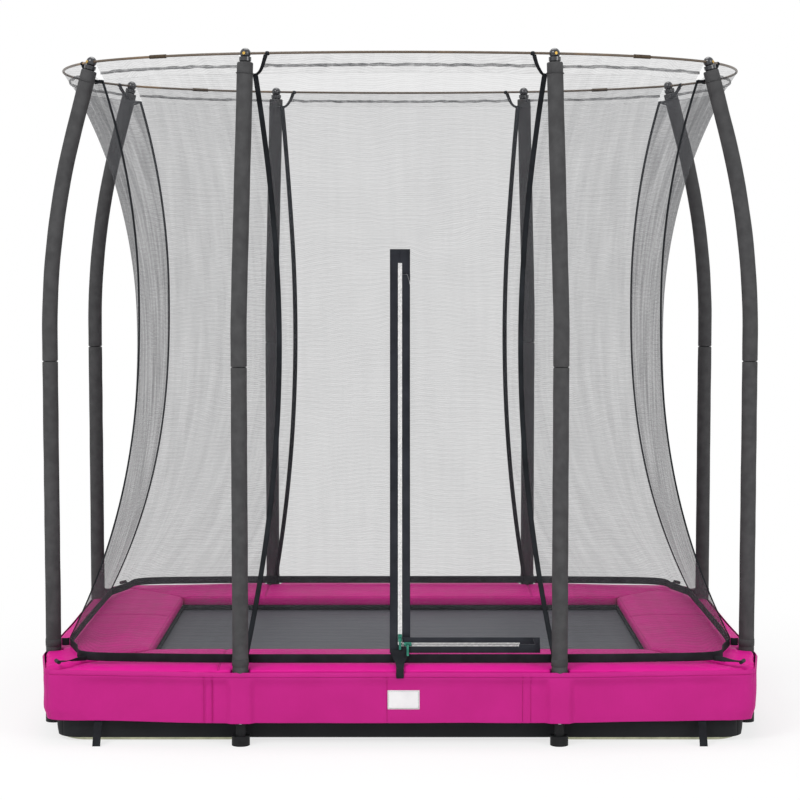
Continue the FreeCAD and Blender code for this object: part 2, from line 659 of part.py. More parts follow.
# Poles: a straight lower tube, a bent upper tube with a spigot, foam sleeves and a foot cap

SLEEVE_BORE = "(Sizes.pole_diameter / 2 + Sizes.fit_gap)"
POLE_BORE = "(Sizes.pole_diameter / 2 - Sizes.pole_wall)"
FOAM_RADIUS = "Sizes.foam_diameter / 2"


def lower_pole(pole, x, y):
    tall = "Sizes.pole_joint - Sizes.foot_floor"
    tube = rod(pole + "_lower", POLE_RADIUS, tall, x, y, "Sizes.foot_floor")
    bore = rod(pole + "_lower_bore", POLE_BORE, tall, x, y, "Sizes.foot_floor")
    return cut(pole + "_lower_cut", tube, [bore] + clamp_drills(pole + "_pole_hole", pole))


def turned(item, pole, x, y):
    """Stand a bent tube on its pole joint, turned to the way that pole leans."""
    turn = size("front_turn") if pole == "front" else 0
    put(item, x, y, "Sizes.pole_joint", Rotation(Vector(0, 0, 1), turn))
    if pole == "front":
        item.setExpression("Placement.Rotation.Angle", "Sizes.front_turn * 1deg")
    return item


def upper_pole(pole, x, y):
    lean = "Sizes.%s_lean" % pole
    bent = turned(leaning_tube(pole + "_upper", POLE_RADIUS, POLE_BORE, "Sizes.tube_top", lean), pole, x, y)
    low = "Sizes.pole_joint - Sizes.pole_spigot"
    spigot = rod(pole + "_spigot", POLE_BORE + " - Sizes.fit_gap", "Sizes.pole_spigot", x, y, low)
    root = rod(pole + "_root", POLE_BORE + " + Sizes.pole_wall / 3", "Sizes.spigot_root", x, y, "Sizes.pole_joint")
    bore = rod(pole + "_spigot_bore", POLE_BORE + " - Sizes.fit_gap - Sizes.pole_wall",
               "Sizes.pole_spigot + Sizes.spigot_root", x, y, low)
    insert = cut(pole + "_insert", fuse(pole + "_insert_body", [spigot, root]), [bore])
    return fuse(pole + "_upper_body", [bent, insert])


def foam_sleeves(pole, x, y):
    tall = "Sizes.pole_joint - Sizes.foam_bottom"
    low = rod(pole + "_low_foam", FOAM_RADIUS, tall, x, y, "Sizes.foam_bottom")
    bore = rod(pole + "_low_foam_bore", SLEEVE_BORE, tall, x, y, "Sizes.foam_bottom")
    high = leaning_tube(pole + "_foam", FOAM_RADIUS, SLEEVE_BORE, "Sizes.foam_top", "Sizes.%s_lean" % pole)
    return cut(pole + "_low_foam_cut", low, [bore]), turned(high, pole, x, y)


def foot_cap(pole, x, y):
    shoe = rod(pole + "_shoe", "Sizes.foot_diameter / 2", "Sizes.foot_height", x, y)
    well = rod(pole + "_well", SLEEVE_BORE, "Sizes.foot_height", x, y, "Sizes.foot_floor")
    return cut(pole + "_foot_cap", shoe, [well])


feet = []
sides = {}
for pole, (x, y, _, _, _) in POLES.items():
    feet += corners(pole + "_foot_copy", foot_cap(pole, x, y))
    low_foam, high_foam = foam_sleeves(pole, x, y)
    for kind, source in (("pole_lower", lower_pole(pole, x, y)), ("pole_upper", upper_pole(pole, x, y)),
                         ("foam", low_foam), ("foam", high_foam)):
        copies = corners("%s_%s_copy" % (source.Name, kind), source)
        if pole == "front":
            pairs = (("front", copies[0:2]), ("back", copies[2:4]))
        else:
            pairs = (("left", copies[0::2]), ("right", copies[1::2]))
        for side, pair in pairs:
            sides.setdefault("%s_%s" % (kind, side), []).extend(pair)
node(group("feet", feet), "pole_foot_caps")
for label, items in sides.items():
    node(group(label + "_set", items), label)


# Where a pole's axis is at a height above its bend, for the pole in each corner

def pole_axis(pole, sign_x, sign_y, height):
    """The point on a pole's axis and the way the pole points there."""
    lean = math.radians(size(pole + "_lean"))
    turn = math.radians(size("front_turn")) if pole == "front" else 0.0
    bend_top = size("bend_start") + size("bend_radius") * math.sin(lean)
    drift = size("bend_radius") * (1 - math.cos(lean)) + (height - bend_top) * math.tan(lean)
    x = value(POLE_X if pole == "front" else SIDE_X) - drift * math.cos(turn)
    y = value(FRONT_Y if pole == "front" else POLE_Y) - drift * math.sin(turn)
    axis = Vector(-math.sin(lean) * math.cos(turn) * sign_x,
                  -math.sin(lean) * math.sin(turn) * sign_y,
                  math.cos(lean))
    return Vector(x * sign_x, y * sign_y, height), axis


SIGNS = [(-1, -1), (1, -1), (-1, 1), (1, 1)]
TOPS = {}
for pole in POLES:
    for sign_x, sign_y in SIGNS:
        TOPS[pole, sign_x, sign_y] = pole_axis(pole, sign_x, sign_y, size("ring_height"))


# Arcs in a level plane, and round bars along them

def outward(start, end):
    """The level direction square to a span that points away from the middle."""
    along = end - start
    normal = Vector(along.y, -along.x, 0)
    normal.normalize()
    middle = (start + end) * 0.5
    return normal if normal.dot(middle) > 0 else normal * -1


def bow(start, end, bulge):
    """The centre, radius, first angle and signed sweep of an arc that bows outward."""
    span = (end - start).Length
    radius = (span * span / 4 + bulge * bulge) / (2 * bulge)
    centre = (start + end) * 0.5 - outward(start, end) * (radius - bulge)
    first = math.atan2(start.y - centre.y, start.x - centre.x)
    last = math.atan2(end.y - centre.y, end.x - centre.x)
    sweep = (last - first + math.pi) % (2 * math.pi) - math.pi
    return centre, radius, first, sweep


def on_bow(start, end, bulge, share=0.0, reach=0.0):
    """A point of such an arc, by its share of the arc and its distance beyond that."""
    centre, radius, first, sweep = bow(start, end, bulge)
    angle = first + sweep * share + math.copysign(reach / radius, sweep)
    return centre + Vector(math.cos(angle), math.sin(angle), 0) * radius


def bowed_bar(start, end, bulge, bar_radius, trim_start, trim_end):
    """A round bar along such an arc, cut short at both ends."""
    centre, radius, first, sweep = bow(start, end, bulge)
    sense = math.copysign(1, sweep)
    first += sense * trim_start / radius
    turn = sweep - sense * (trim_start + trim_end) / radius
    place = centre + Vector(math.cos(first), math.sin(first), 0) * radius
    way = Vector(-math.sin(first), math.cos(first), 0)
    face = Part.Face(Part.Wire(Part.makeCircle(bar_radius, place, way)))
    return face.revolve(centre, Vector(0, 0, 1), math.degrees(turn))


def spans():
    """The eight spans of the ring: kind, start, end and bulge."""
    found = []
    for sign in (-1, 1):
        found.append(("front", TOPS["front", -1, sign][0], TOPS["front", 1, sign][0], size("front_bulge")))
        found.append(("side", TOPS["side", sign, -1][0], TOPS["side", sign, 1][0], size("side_bulge")))
    for sign_x, sign_y in SIGNS:
        start = TOPS["front", sign_x, sign_y][0]
        found.append(("corner", start, TOPS["side", sign_x, sign_y][0], size("corner_bulge")))
    return found


def ring_bars(bar_radius, end_trim):
    """Bars along the ring, two for each corner."""
    bars = []
    for kind, start, end, bulge in spans():
        if kind != "corner":
            bars.append(bowed_bar(start, end, bulge, bar_radius, end_trim, end_trim))
            continue
        _, radius, _, sweep = bow(start, end, bulge)
        half = abs(sweep) * radius / 2 + size("fit_gap")
        bars.append(bowed_bar(start, end, bulge, bar_radius, end_trim, half))
        bars.append(bowed_bar(start, end, bulge, bar_radius, half, end_trim))
    return bars


ROD_RADIUS = size("rod_diameter") / 2
ROD_BORE = ROD_RADIUS + size("fit_gap")
feature_node("ring_rods", ring_bars(ROD_RADIUS, size("rod_end")))

ferrules = []
rooms = []
for kind, start, end, bulge in spans():
    if kind == "corner":
        _, radius, _, sweep = bow(start, end, bulge)
        trim = (abs(sweep) * radius - size("ferrule_length")) / 2
        sleeve = bowed_bar(start, end, bulge, size("ferrule_diameter") / 2, trim, trim)
        ferrules.append(sleeve.cut(bowed_bar(start, end, bulge, ROD_BORE, trim, trim)))
        room = size("ferrule_diameter") / 2 + size("fit_gap")
        rooms.append(bowed_bar(start, end, bulge, room, trim - room, trim - room))
ferrule_room = Part.makeCompound(rooms)
feature_node("ring_ferrules", ferrules)


# Pole caps: a plug in the tube, a collar on it and a ball that holds the ring's rods

rod_bores = ring_bars(ROD_BORE, size("rod_end") - size("fit_gap"))
ball_radius = size("ball_diameter") / 2
caps = []
cap_bolts = []
for (pole, sign_x, sign_y), (centre, axis) in TOPS.items():
    title = "cap_%s_%s_%s" % (pole, "left" if sign_x < 0 else "right", "front" if sign_y < 0 else "back")
    stem = (size("ring_height") - size("tube_top")) / math.cos(math.radians(size(pole + "_lean")))
    ball = doc.addObject("Part::Sphere", title + "_ball")
    ball.setExpression("Radius", "Sizes.ball_diameter / 2")
    collar = cylinder(title + "_collar", "Sizes.collar_diameter / 2", "Sizes.collar_height")
    plug = cylinder(title + "_plug", POLE_BORE + " - Sizes.fit_gap", "Sizes.cap_plug + Sizes.collar_height / 2")
    tilt(ball, centre, axis)
    tilt(collar, centre - axis * stem, axis)
    tilt(plug, centre - axis * (stem + size("cap_plug")), axis)

    near_points = []
    for kind, start, end, bulge in spans():
        if start == centre:
            near_points.append(on_bow(start, end, bulge, reach=size("ball_diameter")))
        elif end == centre:
            near_points.append(on_bow(end, start, bulge, reach=size("ball_diameter")))
    facing = outward(*near_points)
    seat = centre + facing * (ball_radius - size("cap_bolt_rise") / 2)
    tip = seat - facing * size("cap_bolt_length")
    shank = Part.makeCylinder(size("cap_bolt_shank") / 2, size("cap_bolt_length"), tip, facing)
    head = Part.makeCylinder(size("cap_bolt_head") / 2, size("cap_bolt_rise"), seat, facing)
    cap_bolts.append(shank.fuse(head))
    shank_hole = Part.makeCylinder(size("cap_bolt_shank") / 2 + size("seat_gap"), size("ball_diameter"),
                                   tip - facing * size("seat_gap"), facing)
    spot_face = Part.makeCylinder(size("cap_bolt_head") / 2 + size("fit_gap"), ball_radius, seat, facing)
    near = Part.makeSphere(ball_radius, centre).BoundBox
    drills = [shank_hole, spot_face] + [bar for bar in rod_bores if bar.BoundBox.intersect(near)]
    tools = feature(title + "_drills", drills[0].multiFuse(drills[1:]))
    caps.append(cut(title + "_cut", fuse(title + "_body", [ball, collar, plug]), [tools]))
node(group("caps", caps), "pole_top_caps")
feature_node("cap_bolts", cap_bolts)


# The net's shape: where each seam and the middle of each panel lie at a height

def waisted(height, waist, waist_height, foot, low_power, top, high_power):
    """A distance that is least at the waist and grows to the foot and to the top."""
    if height < waist_height:
        share = (waist_height - height) / (waist_height - size("net_bottom"))
        return waist + (foot - waist) * share ** low_power
    share = (height - waist_height) / (size("net_top") - waist_height)
    return waist + (top - waist) * share ** high_power


def hooped(height, waist, waist_height, radius, top):
    """A distance on an arc round the waist, which leaves the arc at the flare to reach the top."""
    flare = size("flare_height")
    low = min(height, flare)
    distance = waist + radius - math.sqrt(radius ** 2 - (low - waist_height) ** 2)
    if height <= flare:
        return distance
    slope = (flare - waist_height) / math.sqrt(radius ** 2 - (flare - waist_height) ** 2)
    run = size("net_top") - flare
    share = (height - flare) / run
    return distance + slope * run * share + (top - distance - slope * run) * share ** 2


def wall_y(height, top):
    return hooped(height, size("wall_waist"), size("wall_waist_height"), size("wall_radius"), top)


def front_middle(height):
    return Vector(0, wall_y(height, size("wall_top")), height)


def front_seam(height):
    x = hooped(height, size("front_seam_waist"), size("front_seam_height"), size("front_seam_radius"),
               size("front_seam_top"))
    return Vector(x, wall_y(height, size("front_seam_depth")), height)


def side_middle(height):
    x = waisted(height, size("side_wall_waist"), size("side_wall_height"), size("side_wall_foot"),
                size("side_wall_low_power"), size("side_wall_top"), size("side_wall_high_power"))
    return Vector(x, 0, height)


def side_seam(height):
    x = waisted(height, size("side_seam_waist"), size("side_seam_height"), size("side_seam_foot"),
                size("side_seam_low_power"), size("side_seam_top"), size("side_seam_high_power"))
    y = waisted(height, size("side_seam_narrow"), size("side_seam_height"), size("side_seam_depth"), 2,
                size("side_seam_depth"), 2)
    return Vector(x, y, height)


def corner_middle(height):
    start = front_seam(height)
    end = side_seam(height)
    waist = size("corner_height")
    drop = max(waist - height, 0) / (waist - size("net_bottom"))
    climb = max(height - waist, 0) / (size("net_top") - waist)
    share = 0.5 + (size("corner_share") - 0.5) * drop ** 1.5
    out = size("corner_out_waist")
    out += (size("corner_out_foot") - size("corner_out_waist")) * drop ** 2.2
    out += (size("corner_out_top") - size("corner_out_waist")) * climb ** 2
    return start + (end - start) * share + outward(start, end) * out


def halfway(start, end):
    """The middle of one bowed half of a corner panel."""
    bulge = (end - start).Length * size("corner_round")
    return (start + end) * 0.5 + outward(start, end) * bulge


def toward(start, end):
    way = end - start
    way.normalize()
    return way


def front_way(height):
    """The direction in which the front panel leaves its seam."""
    seam = front_seam(height)
    angle = 2 * math.atan2(front_middle(height).y - seam.y, seam.x)
    return Vector(-math.cos(angle), math.sin(angle), 0)


def side_way(height):
    """The direction in which the side panel leaves its seam."""
    seam = side_seam(height)
    angle = 2 * math.atan2(side_middle(height).x - seam.x, seam.y)
    return Vector(math.sin(angle), -math.cos(angle), 0)


def panel_points(kind, height, inset):
    """Outer points of a panel at a height, where X and Y are positive, drawn in from its seams."""
    if kind == "front":
        end = front_seam(height) + front_way(height) * inset
        return [Vector(-end.x, end.y, height), front_middle(height), end]
    if kind == "side":
        end = side_seam(height) + side_way(height) * inset
        return [Vector(end.x, -end.y, height), side_middle(height), end]
    middle = corner_middle(height)
    start = front_seam(height)
    start = start + toward(start, middle) * inset
    end = side_seam(height)
    end = end + toward(end, middle) * inset
    return [start, halfway(start, middle), middle, halfway(middle, end), end]


def shifted(points, distance):
    """The points moved towards the middle of the trampoline, square to the line through them."""
    moved = []
    for index, point in enumerate(points):
        before = points[max(index - 1, 0)]
        after = points[min(index + 1, len(points) - 1)]
        moved.append(point - outward(before, after) * distance)
    return moved


def bowed_edges(points):
    """Arcs through each three points, or a line where they lie in one."""
    edges = []
    for index in range(0, len(points) - 2, 2):
        first, middle, last = points[index:index + 3]
        bent = (middle - first).cross(last - first).Length > 1e-3 * (last - first).Length
        edges.append(Part.Arc(first, middle, last).toShape() if bent else Part.makeLine(first, last))
    return edges


def strip(points, thickness, proud=0.0):
    """The closed wire of a sheet's section; its outer side is proud of the points."""
    outer = shifted(points, -proud)
    inner = shifted(points, thickness - proud)
    edges = bowed_edges(outer) + [Part.makeLine(outer[-1], inner[-1])]
    edges += bowed_edges(inner[::-1]) + [Part.makeLine(inner[0], outer[0])]
    return Part.Wire(edges)


def signed(points, sign_x, sign_y):
    return [Vector(point.x * sign_x, point.y * sign_y, point.z) for point in points]


def loft(wires):
    """A ruled solid through closed wires, its faces turned outward."""
    made = Part.makeLoft(wires, True, True)
    if made.ShapeType != "Solid":
        made = Part.Solid(made.Shells[0])
    if made.Volume < 0:
        made.reverse()
    return made


def heights(low, high, count):
    return [low + (high - low) * index / (count - 1) for index in range(count)]


STEPS = int(size("net_steps"))
PANEL_INSET = size("tape_width") / 2 + size("tape_gap")
NET = size("net_thickness")


def panel(kind, sign_x, sign_y, levels):
    return loft([strip(signed(panel_points(kind, height, PANEL_INSET), sign_x, sign_y), NET)
                 for height in levels])


# Front and back walls are rolled about a level line outside them, up to the flare

LOW = size("net_bottom")
FLARE = size("flare_height")
TIE = size("net_top")
HUB_Y = "-(Sizes.wall_waist + Sizes.wall_radius)"


def roll(name, near, far):
    """A sheet rolled about the front wall's line, between two radii."""
    shells = []
    for side, radius in (("far", far), ("near", near)):
        shells.append(rod("%s_%s" % (name, side), radius, "2 * Sizes.side_seam_foot", "-Sizes.side_seam_foot",
                          HUB_Y, "Sizes.wall_waist_height", ALONG_X))
    return cut(name, shells[0], [shells[1]])


def curtain(name, edges):
    """A slab through the front wall whose outline is given in X and Z."""
    near = -size("frame_width")
    deep = size("frame_width") - size("wall_waist") / 2
    moved = [edge.translated(Vector(0, near, 0)) for edge in edges]
    return feature(name, Part.Face(Part.Wire(moved)).extrude(Vector(0, deep, 0)))


def polygon(points):
    """Edges of a closed outline given in X and Z."""
    spots = [Vector(x, 0, z) for x, z in points]
    return [Part.makeLine(spots[index - 1], spots[index]) for index in range(len(spots))]


def seam_edge(sign, low, high):
    """The edge of the front panel beside a seam, as an arc in X and Z."""
    spots = [Vector(sign * (front_seam(height).x - PANEL_INSET), 0, height)
             for height in (low, (low + high) / 2, high)]
    return Part.Arc(*spots).toShape()


def door_triangle(gap):
    """The door flap between the two zips and its fold, drawn in by a gap and cut short at the top."""
    reach = size("zip_reach")
    base = size("zip_corner")
    rise = size("zip_top") - base
    shrink = 1 - gap * math.hypot(rise, reach) / (reach * rise)
    tack = rise - size("door_tack") - gap
    return [
        (gap, base + gap),
        (reach * (shrink - gap / rise), base + gap),
        (reach * (shrink - tack / rise), base + tack),
        (gap, base + tack),
    ]


right_edge = seam_edge(1, LOW, FLARE)
left_edge = seam_edge(-1, FLARE, LOW)
front_outline = [
    right_edge,
    Part.makeLine(right_edge.Vertexes[1].Point, left_edge.Vertexes[0].Point),
    left_edge,
    Part.makeLine(left_edge.Vertexes[1].Point, right_edge.Vertexes[0].Point),
]
wall_roll = roll("wall_roll", "Sizes.wall_radius", "Sizes.wall_radius + Sizes.net_thickness")
front_lower = common("front_lower", wall_roll, curtain("front_outline", front_outline))
door_hole = curtain("door_hole", polygon(door_triangle(0)))
door_slab = curtain("door_slab", polygon(door_triangle(size("door_gap"))))
front_upper = feature("front_upper", panel("front", 1, -1, heights(FLARE, TIE, 5)))
back_upper = feature("back_upper", panel("front", 1, 1, heights(FLARE, TIE, 5)))
node(fuse("front_whole", [cut("front_open", front_lower, [door_hole]), front_upper]), "net_front")
node(fuse("back_whole", [mirror("back_lower", front_lower, FRONT_BACK), back_upper]), "net_back")
node(common("door_cloth", front_lower, door_slab), "door_flap")

half_tape = size("zip_tape") / 2
tape_end = size("zip_reach") + size("zip_margin")
tape_peak = size("zip_top") + size("zip_margin")
shelf = size("zip_corner") + size("zip_shelf")
tape_outline = polygon([(-half_tape, size("zip_base")), (tape_end, size("zip_base")), (tape_end, shelf),
                        (half_tape, shelf), (half_tape, tape_peak), (-half_tape, tape_peak)])
zip_roll = roll("zip_roll", "Sizes.wall_radius - Sizes.zip_gap - Sizes.zip_thickness",
                "Sizes.wall_radius - Sizes.zip_gap")
zip_tape = common("zip_tape_whole", zip_roll, curtain("zip_outline", tape_outline))
node(common("zip_tape_door", zip_tape, door_slab), "zip_tape_flap")
node(cut("zip_tape_wall", zip_tape, [door_hole]), "zip_tape_fixed")


# Side and corner panels, with tapes over the seams

def corner_name(sign_x, sign_y):
    return "%s_%s" % ("front" if sign_y < 0 else "back", "left" if sign_x < 0 else "right")


for label, sign in (("net_left", -1), ("net_right", 1)):
    feature_node(label, [panel("side", sign, 1, heights(LOW, TIE, STEPS))])
for sign_x, sign_y in SIGNS:
    label = "net_corner_" + corner_name(sign_x, sign_y)
    feature_node(label, [panel("corner", sign_x, sign_y, heights(LOW, TIE, STEPS))])


def seam_tape(kind, sign_x, sign_y):
    """A folded strip over a seam, a little proud of the gauze on both sides."""
    reach = size("tape_width") / 2
    thickness = size("tape_thickness")
    proud = (thickness - NET) / 2
    wires = []
    for height in heights(LOW, TIE, STEPS):
        middle = corner_middle(height)
        seam = front_seam(height) if kind == "front" else side_seam(height)
        away = front_way(height) if kind == "front" else side_way(height)
        spots = signed([seam + away * reach, seam, seam + toward(seam, middle) * reach], sign_x, sign_y)
        outer = shifted(spots, -proud)
        inner = shifted(spots, thickness - proud)
        wires.append(Part.makePolygon(outer + inner[::-1] + [outer[0]]))
    return loft(wires)


feature_node("seam_tapes", [seam_tape(kind, *signs) for kind in ("front", "side") for signs in SIGNS])


# Band under the gauze and hem under the ring, one piece to each panel

PANELS = [("front", 1, -1), ("front", 1, 1), ("side", -1, 1), ("side", 1, 1)]
PANELS += [("corner", sign_x, sign_y) for sign_x, sign_y in SIGNS]

band = []
for kind, sign_x, sign_y in PANELS:
    points = signed(panel_points(kind, LOW, size("band_inset")), sign_x, sign_y)
    face = Part.Face(strip(points, size("band_thickness"), size("seat_gap")))
    band.append(face.extrude(Vector(0, 0, size("band_bottom") - LOW)))
feature_node("bottom_band", band)


def ring_points(kind, sign_x, sign_y):
    """Points under the ring above a panel's own points."""
    if kind == "corner":
        start = TOPS["front", sign_x, sign_y][0]
        end = TOPS["side", sign_x, sign_y][0]
        free = size("cap_clear")
        steps = (0.25, 0.5, 0.75)
    else:
        start = TOPS[kind, -1 if kind == "front" else sign_x, sign_y if kind == "front" else -1][0]
        end = TOPS[kind, 1 if kind == "front" else sign_x, sign_y if kind == "front" else 1][0]
        free = size("notch") + size("cord_diameter")
        steps = (0.5,)
    bulge = size(kind + "_bulge")
    points = [on_bow(start, end, bulge, reach=free)]
    points += [on_bow(start, end, bulge, share=step) for step in steps]
    points.append(on_bow(end, start, bulge, reach=free))
    for point in points:
        point.z = size("ring_height") - ROD_BORE
    return points


hems = []
for kind, sign_x, sign_y in PANELS:
    hem = size("hem_thickness")
    lower_points = signed(panel_points(kind, TIE, PANEL_INSET), sign_x, sign_y)
    upper_points = ring_points(kind, sign_x, sign_y)
    sheet_of_hem = loft([strip(lower_points, hem, size("seat_gap")), strip(upper_points, hem, hem / 2)])
    hems.append(sheet_of_hem.cut(ferrule_room))
feature_node("net_hem", hems)


# Ties: a cord from each notch of the hem down to the seam and on round the pole

ties = []
cord = size("cord_diameter") / 2
loop_radius = size("foam_diameter") / 2 + size("fit_gap") + cord
for (pole, sign_x, sign_y), (top, _) in TOPS.items():
    seam = front_seam(size("tie_height")) if pole == "front" else side_seam(size("tie_height"))
    seam = signed([seam], sign_x, sign_y)[0]
    centre, axis = pole_axis(pole, sign_x, sign_y, size("tie_height"))
    knot = seam + toward(seam, centre) * size("tie_reach")
    spoke = knot - centre
    spoke = spoke - axis * spoke.dot(axis)
    spoke.normalize()
    grip = centre + spoke * loop_radius
    across_pole = (pole, -sign_x, sign_y) if pole == "front" else (pole, sign_x, -sign_y)
    hem_end = on_bow(top, TOPS[across_pole][0], size(pole + "_bulge"), reach=size("notch") - cord)
    hem_end.z = size("ring_height") - ROD_BORE - cord
    loop = Part.makeTorus(loop_radius, cord, centre, axis)
    link = Part.makeCylinder(cord, (grip - knot).Length, knot, grip - knot)
    binding = Part.makeCylinder(cord, (hem_end - knot).Length, knot, hem_end - knot)
    ties.append(loop.multiFuse([link, binding, Part.makeSphere(cord, knot)]))
feature_node("net_ties", ties)


# Zip sliders and their pull tabs on the rolled tape, as they are with the door shut

TAPE_FACE = size("wall_radius") - size("zip_gap") - size("zip_thickness")
PIN_OUT = size("slider_thickness") / 2 + size("pin_rise")
LUG_X = size("pull_width") / 2 + size("fit_gap")
SIDEWAYS = Vector(1, 0, 0)


def on_tape(x, height):
    """The placement of a slider on the tape at a height, with -Y outward."""
    hub_z = size("wall_waist_height")
    angle = math.asin((height - hub_z) / TAPE_FACE)
    radius = TAPE_FACE - size("slider_gap") - size("slider_thickness") / 2
    base = Vector(x, value(HUB_Y) + radius * math.cos(angle), hub_z + radius * math.sin(angle))
    return Placement(base, Rotation(SIDEWAYS, math.degrees(angle)))


def slider_shape(length, height):
    """A zip slider with two lugs and a pin, in its own frame."""
    deep = size("slider_thickness")
    body = Part.makeBox(length, deep, height, Vector(-length / 2, -deep / 2, -height / 2))
    body = body.makeFillet(deep / 3, body.Edges)
    pin = size("pin_diameter")
    reach = LUG_X + size("lug_thickness")
    parts = [Part.makeCylinder(pin / 2, 2 * reach, Vector(-reach, -PIN_OUT, 0), SIDEWAYS)]
    for left in (-reach, LUG_X):
        parts.append(Part.makeBox(size("lug_thickness"), PIN_OUT + pin, 2 * pin, Vector(left, -PIN_OUT - pin, -pin)))
    return body.multiFuse(parts)


def pull_shape():
    """A pull tab that hangs from the pin, in the slider's frame."""
    wide = size("pull_width")
    thick = size("pull_thickness")
    barrel = Part.makeCylinder(size("pull_barrel") / 2, wide, Vector(-wide / 2, -PIN_OUT, 0), SIDEWAYS)
    plate = Part.makeBox(wide, thick, size("pull_length"),
                         Vector(-wide / 2, -PIN_OUT - thick / 2, -size("pull_length")))
    eye = Part.makeCylinder(size("pin_diameter") / 2 + size("fit_gap"), 2 * wide, Vector(-wide, -PIN_OUT, 0),
                            SIDEWAYS)
    return barrel.fuse(plate).cut(eye)


for label, x, height, length, tall in (
    ("upright", 0, size("slider_start"), size("slider_width"), size("slider_length")),
    ("bottom", size("slider_side"), size("zip_corner"), size("slider_length"), size("slider_width")),
):
    for stem, shape in (("zip_slider_", slider_shape(length, tall)), ("pull_tab_", pull_shape())):
        item = node(feature(stem + label + "_shape", shape), stem + label)
        item.Placement = on_tape(x, height)


# Mat: a rounded sheet, with a ring for every spring

mat = doc.addObject("PartDesign::Body", "mat_body")
mat_sketch = body_sketch(mat, "mat_sketch", "XY_Plane")
half_x = size("mat_length") / 2
half_y = size("mat_width") / 2
ends = [Vector(-half_x, -half_y, 0), Vector(half_x, -half_y, 0), Vector(half_x, half_y, 0),
        Vector(-half_x, half_y, 0)]
for index in range(4):
    mat_sketch.addGeometry(Part.LineSegment(ends[index], ends[(index + 1) % 4]), False)
for index in range(4):
    mat_sketch.addConstraint(Sketcher.Constraint("Coincident", index, 2, (index + 1) % 4, 1))
for index, kind in enumerate(("Horizontal", "Vertical", "Horizontal", "Vertical")):
    mat_sketch.addConstraint(Sketcher.Constraint(kind, index))
mat_sketch.addConstraint(Sketcher.Constraint("Symmetric", 0, 1, 1, 2, -1, 1))
bound(mat_sketch, Sketcher.Constraint("DistanceX", 0, 1, 0, 2, size("mat_length")), "Sizes.mat_length")
bound(mat_sketch, Sketcher.Constraint("DistanceY", 1, 1, 1, 2, size("mat_width")), "Sizes.mat_width")
mat_pad = mat.newObject("PartDesign::Pad", "mat_pad")
mat_pad.Profile = mat_sketch
mat_pad.setExpression("Length", "Sizes.mat_thickness")
doc.recompute()
upright_edges = ["Edge%d" % (index + 1) for index, edge in enumerate(mat_pad.Shape.Edges)
                 if abs(edge.Vertexes[0].Z - edge.Vertexes[-1].Z) > size("mat_thickness") / 2]
mat_round = mat.newObject("PartDesign::Fillet", "mat_round")
mat_round.Base = (mat_pad, upright_edges)
mat_round.setExpression("Radius", "Sizes.mat_corner")
put(mat, "0", "0", "Sizes.mat_top - Sizes.mat_thickness", UPRIGHT)
node(mat, "mat")

RING_OUT = size("ring_reach") + size("ring_wire") / 2 + size("fit_gap")
feature_node("mat_rings", [
    Part.makeTorus(size("ring_reach"), size("ring_wire") / 2, start + way * RING_OUT + Vector(0, 0, RING_Z))
    for start, way in SPRINGS])


# Springs: a coil between two hooks, from each ring to the rail

springs = []
for start, way in SPRINGS:
    wire = size("spring_wire") / 2
    reach = rail_face(way) - abs(start.dot(way))
    edge = start + Vector(0, 0, SPRING_Z)
    tip = edge + way * RING_OUT
    coil_start = RING_OUT + size("spring_lead")
    coil_length = reach - size("spring_lead") - coil_start
    bar = Part.makeCylinder(wire, reach + size("rail_wall") + size("spring_hook") - RING_OUT, tip, way)
    coil = Part.makeCylinder(size("spring_diameter") / 2, coil_length, edge + way * coil_start, way)
    down = Part.makeCylinder(wire, size("ring_wire") + size("spring_wire"), tip, Vector(0, 0, -1))
    springs.append(coil.multiFuse([bar, down, Part.makeSphere(wire, tip)]))
feature_node("springs", springs)


# The plan of pads and skirt: each side's half outline, and the share of the plan between two mitres

SKIRT_Y = value(FRONT_Y) + size("foam_diameter") / 2 + size("skirt_clear")
SKIRT_X = value(SIDE_X) + size("foam_diameter") / 2 + size("skirt_clear")
CORNER_OUT_X = size("frame_length") / 2 + size("corner_reach")
CORNER_OUT_Y = size("frame_width") / 2 + size("corner_reach")
INNER_X = size("pad_opening_length") / 2
INNER_Y = size("pad_opening_width") / 2
SIDES = (("front", "front", -1), ("back", "front", 1), ("left", "side", -1), ("right", "side", 1))


def skirt_line(kind):
    """Inner face of a skirt from the middle of its side to the corner, as along and out."""
    if kind == "front":
        return [(0, SKIRT_Y), (size("front_shoulder"), SKIRT_Y), (CORNER_OUT_X, CORNER_OUT_Y)]
    return [(0, SKIRT_X), (size("side_shoulder"), SKIRT_X), (CORNER_OUT_Y, CORNER_OUT_X)]


def plan(kind, sign, points, height=0.0):
    """Points given as along and out, on the front, back, left or right side."""
    if kind == "front":
        return [Vector(along, out * sign, height) for along, out in points]
    return [Vector(out * sign, along, height) for along, out in points]


def slab(points, low, high):
    base = [Vector(point.x, point.y, low) for point in points]
    return Part.Face(Part.makePolygon(base + [base[0]])).extrude(Vector(0, 0, high - low))


def sector(kind, sign, low, high):
    """The block between the two mitres of a side, half a gap inside them."""
    inner = (INNER_X, INNER_Y) if kind == "front" else (INNER_Y, INNER_X)
    outer = (CORNER_OUT_X, CORNER_OUT_Y) if kind == "front" else (CORNER_OUT_Y, CORNER_OUT_X)
    slope = (outer[0] - inner[0]) / (outer[1] - inner[1])
    back = size("pad_gap") * math.hypot(1, slope) / 2
    near = inner[1] * 0.8
    far = outer[1] * 1.2
    narrow = inner[0] + (near - inner[1]) * slope - back
    wide = inner[0] + (far - inner[1]) * slope - back
    return slab(plan(kind, sign, [(-narrow, near), (narrow, near), (wide, far), (-wide, far)]), low, high)


# Pads: four crowned cushions over the springs, sewn at mitred corners, notched round the poles

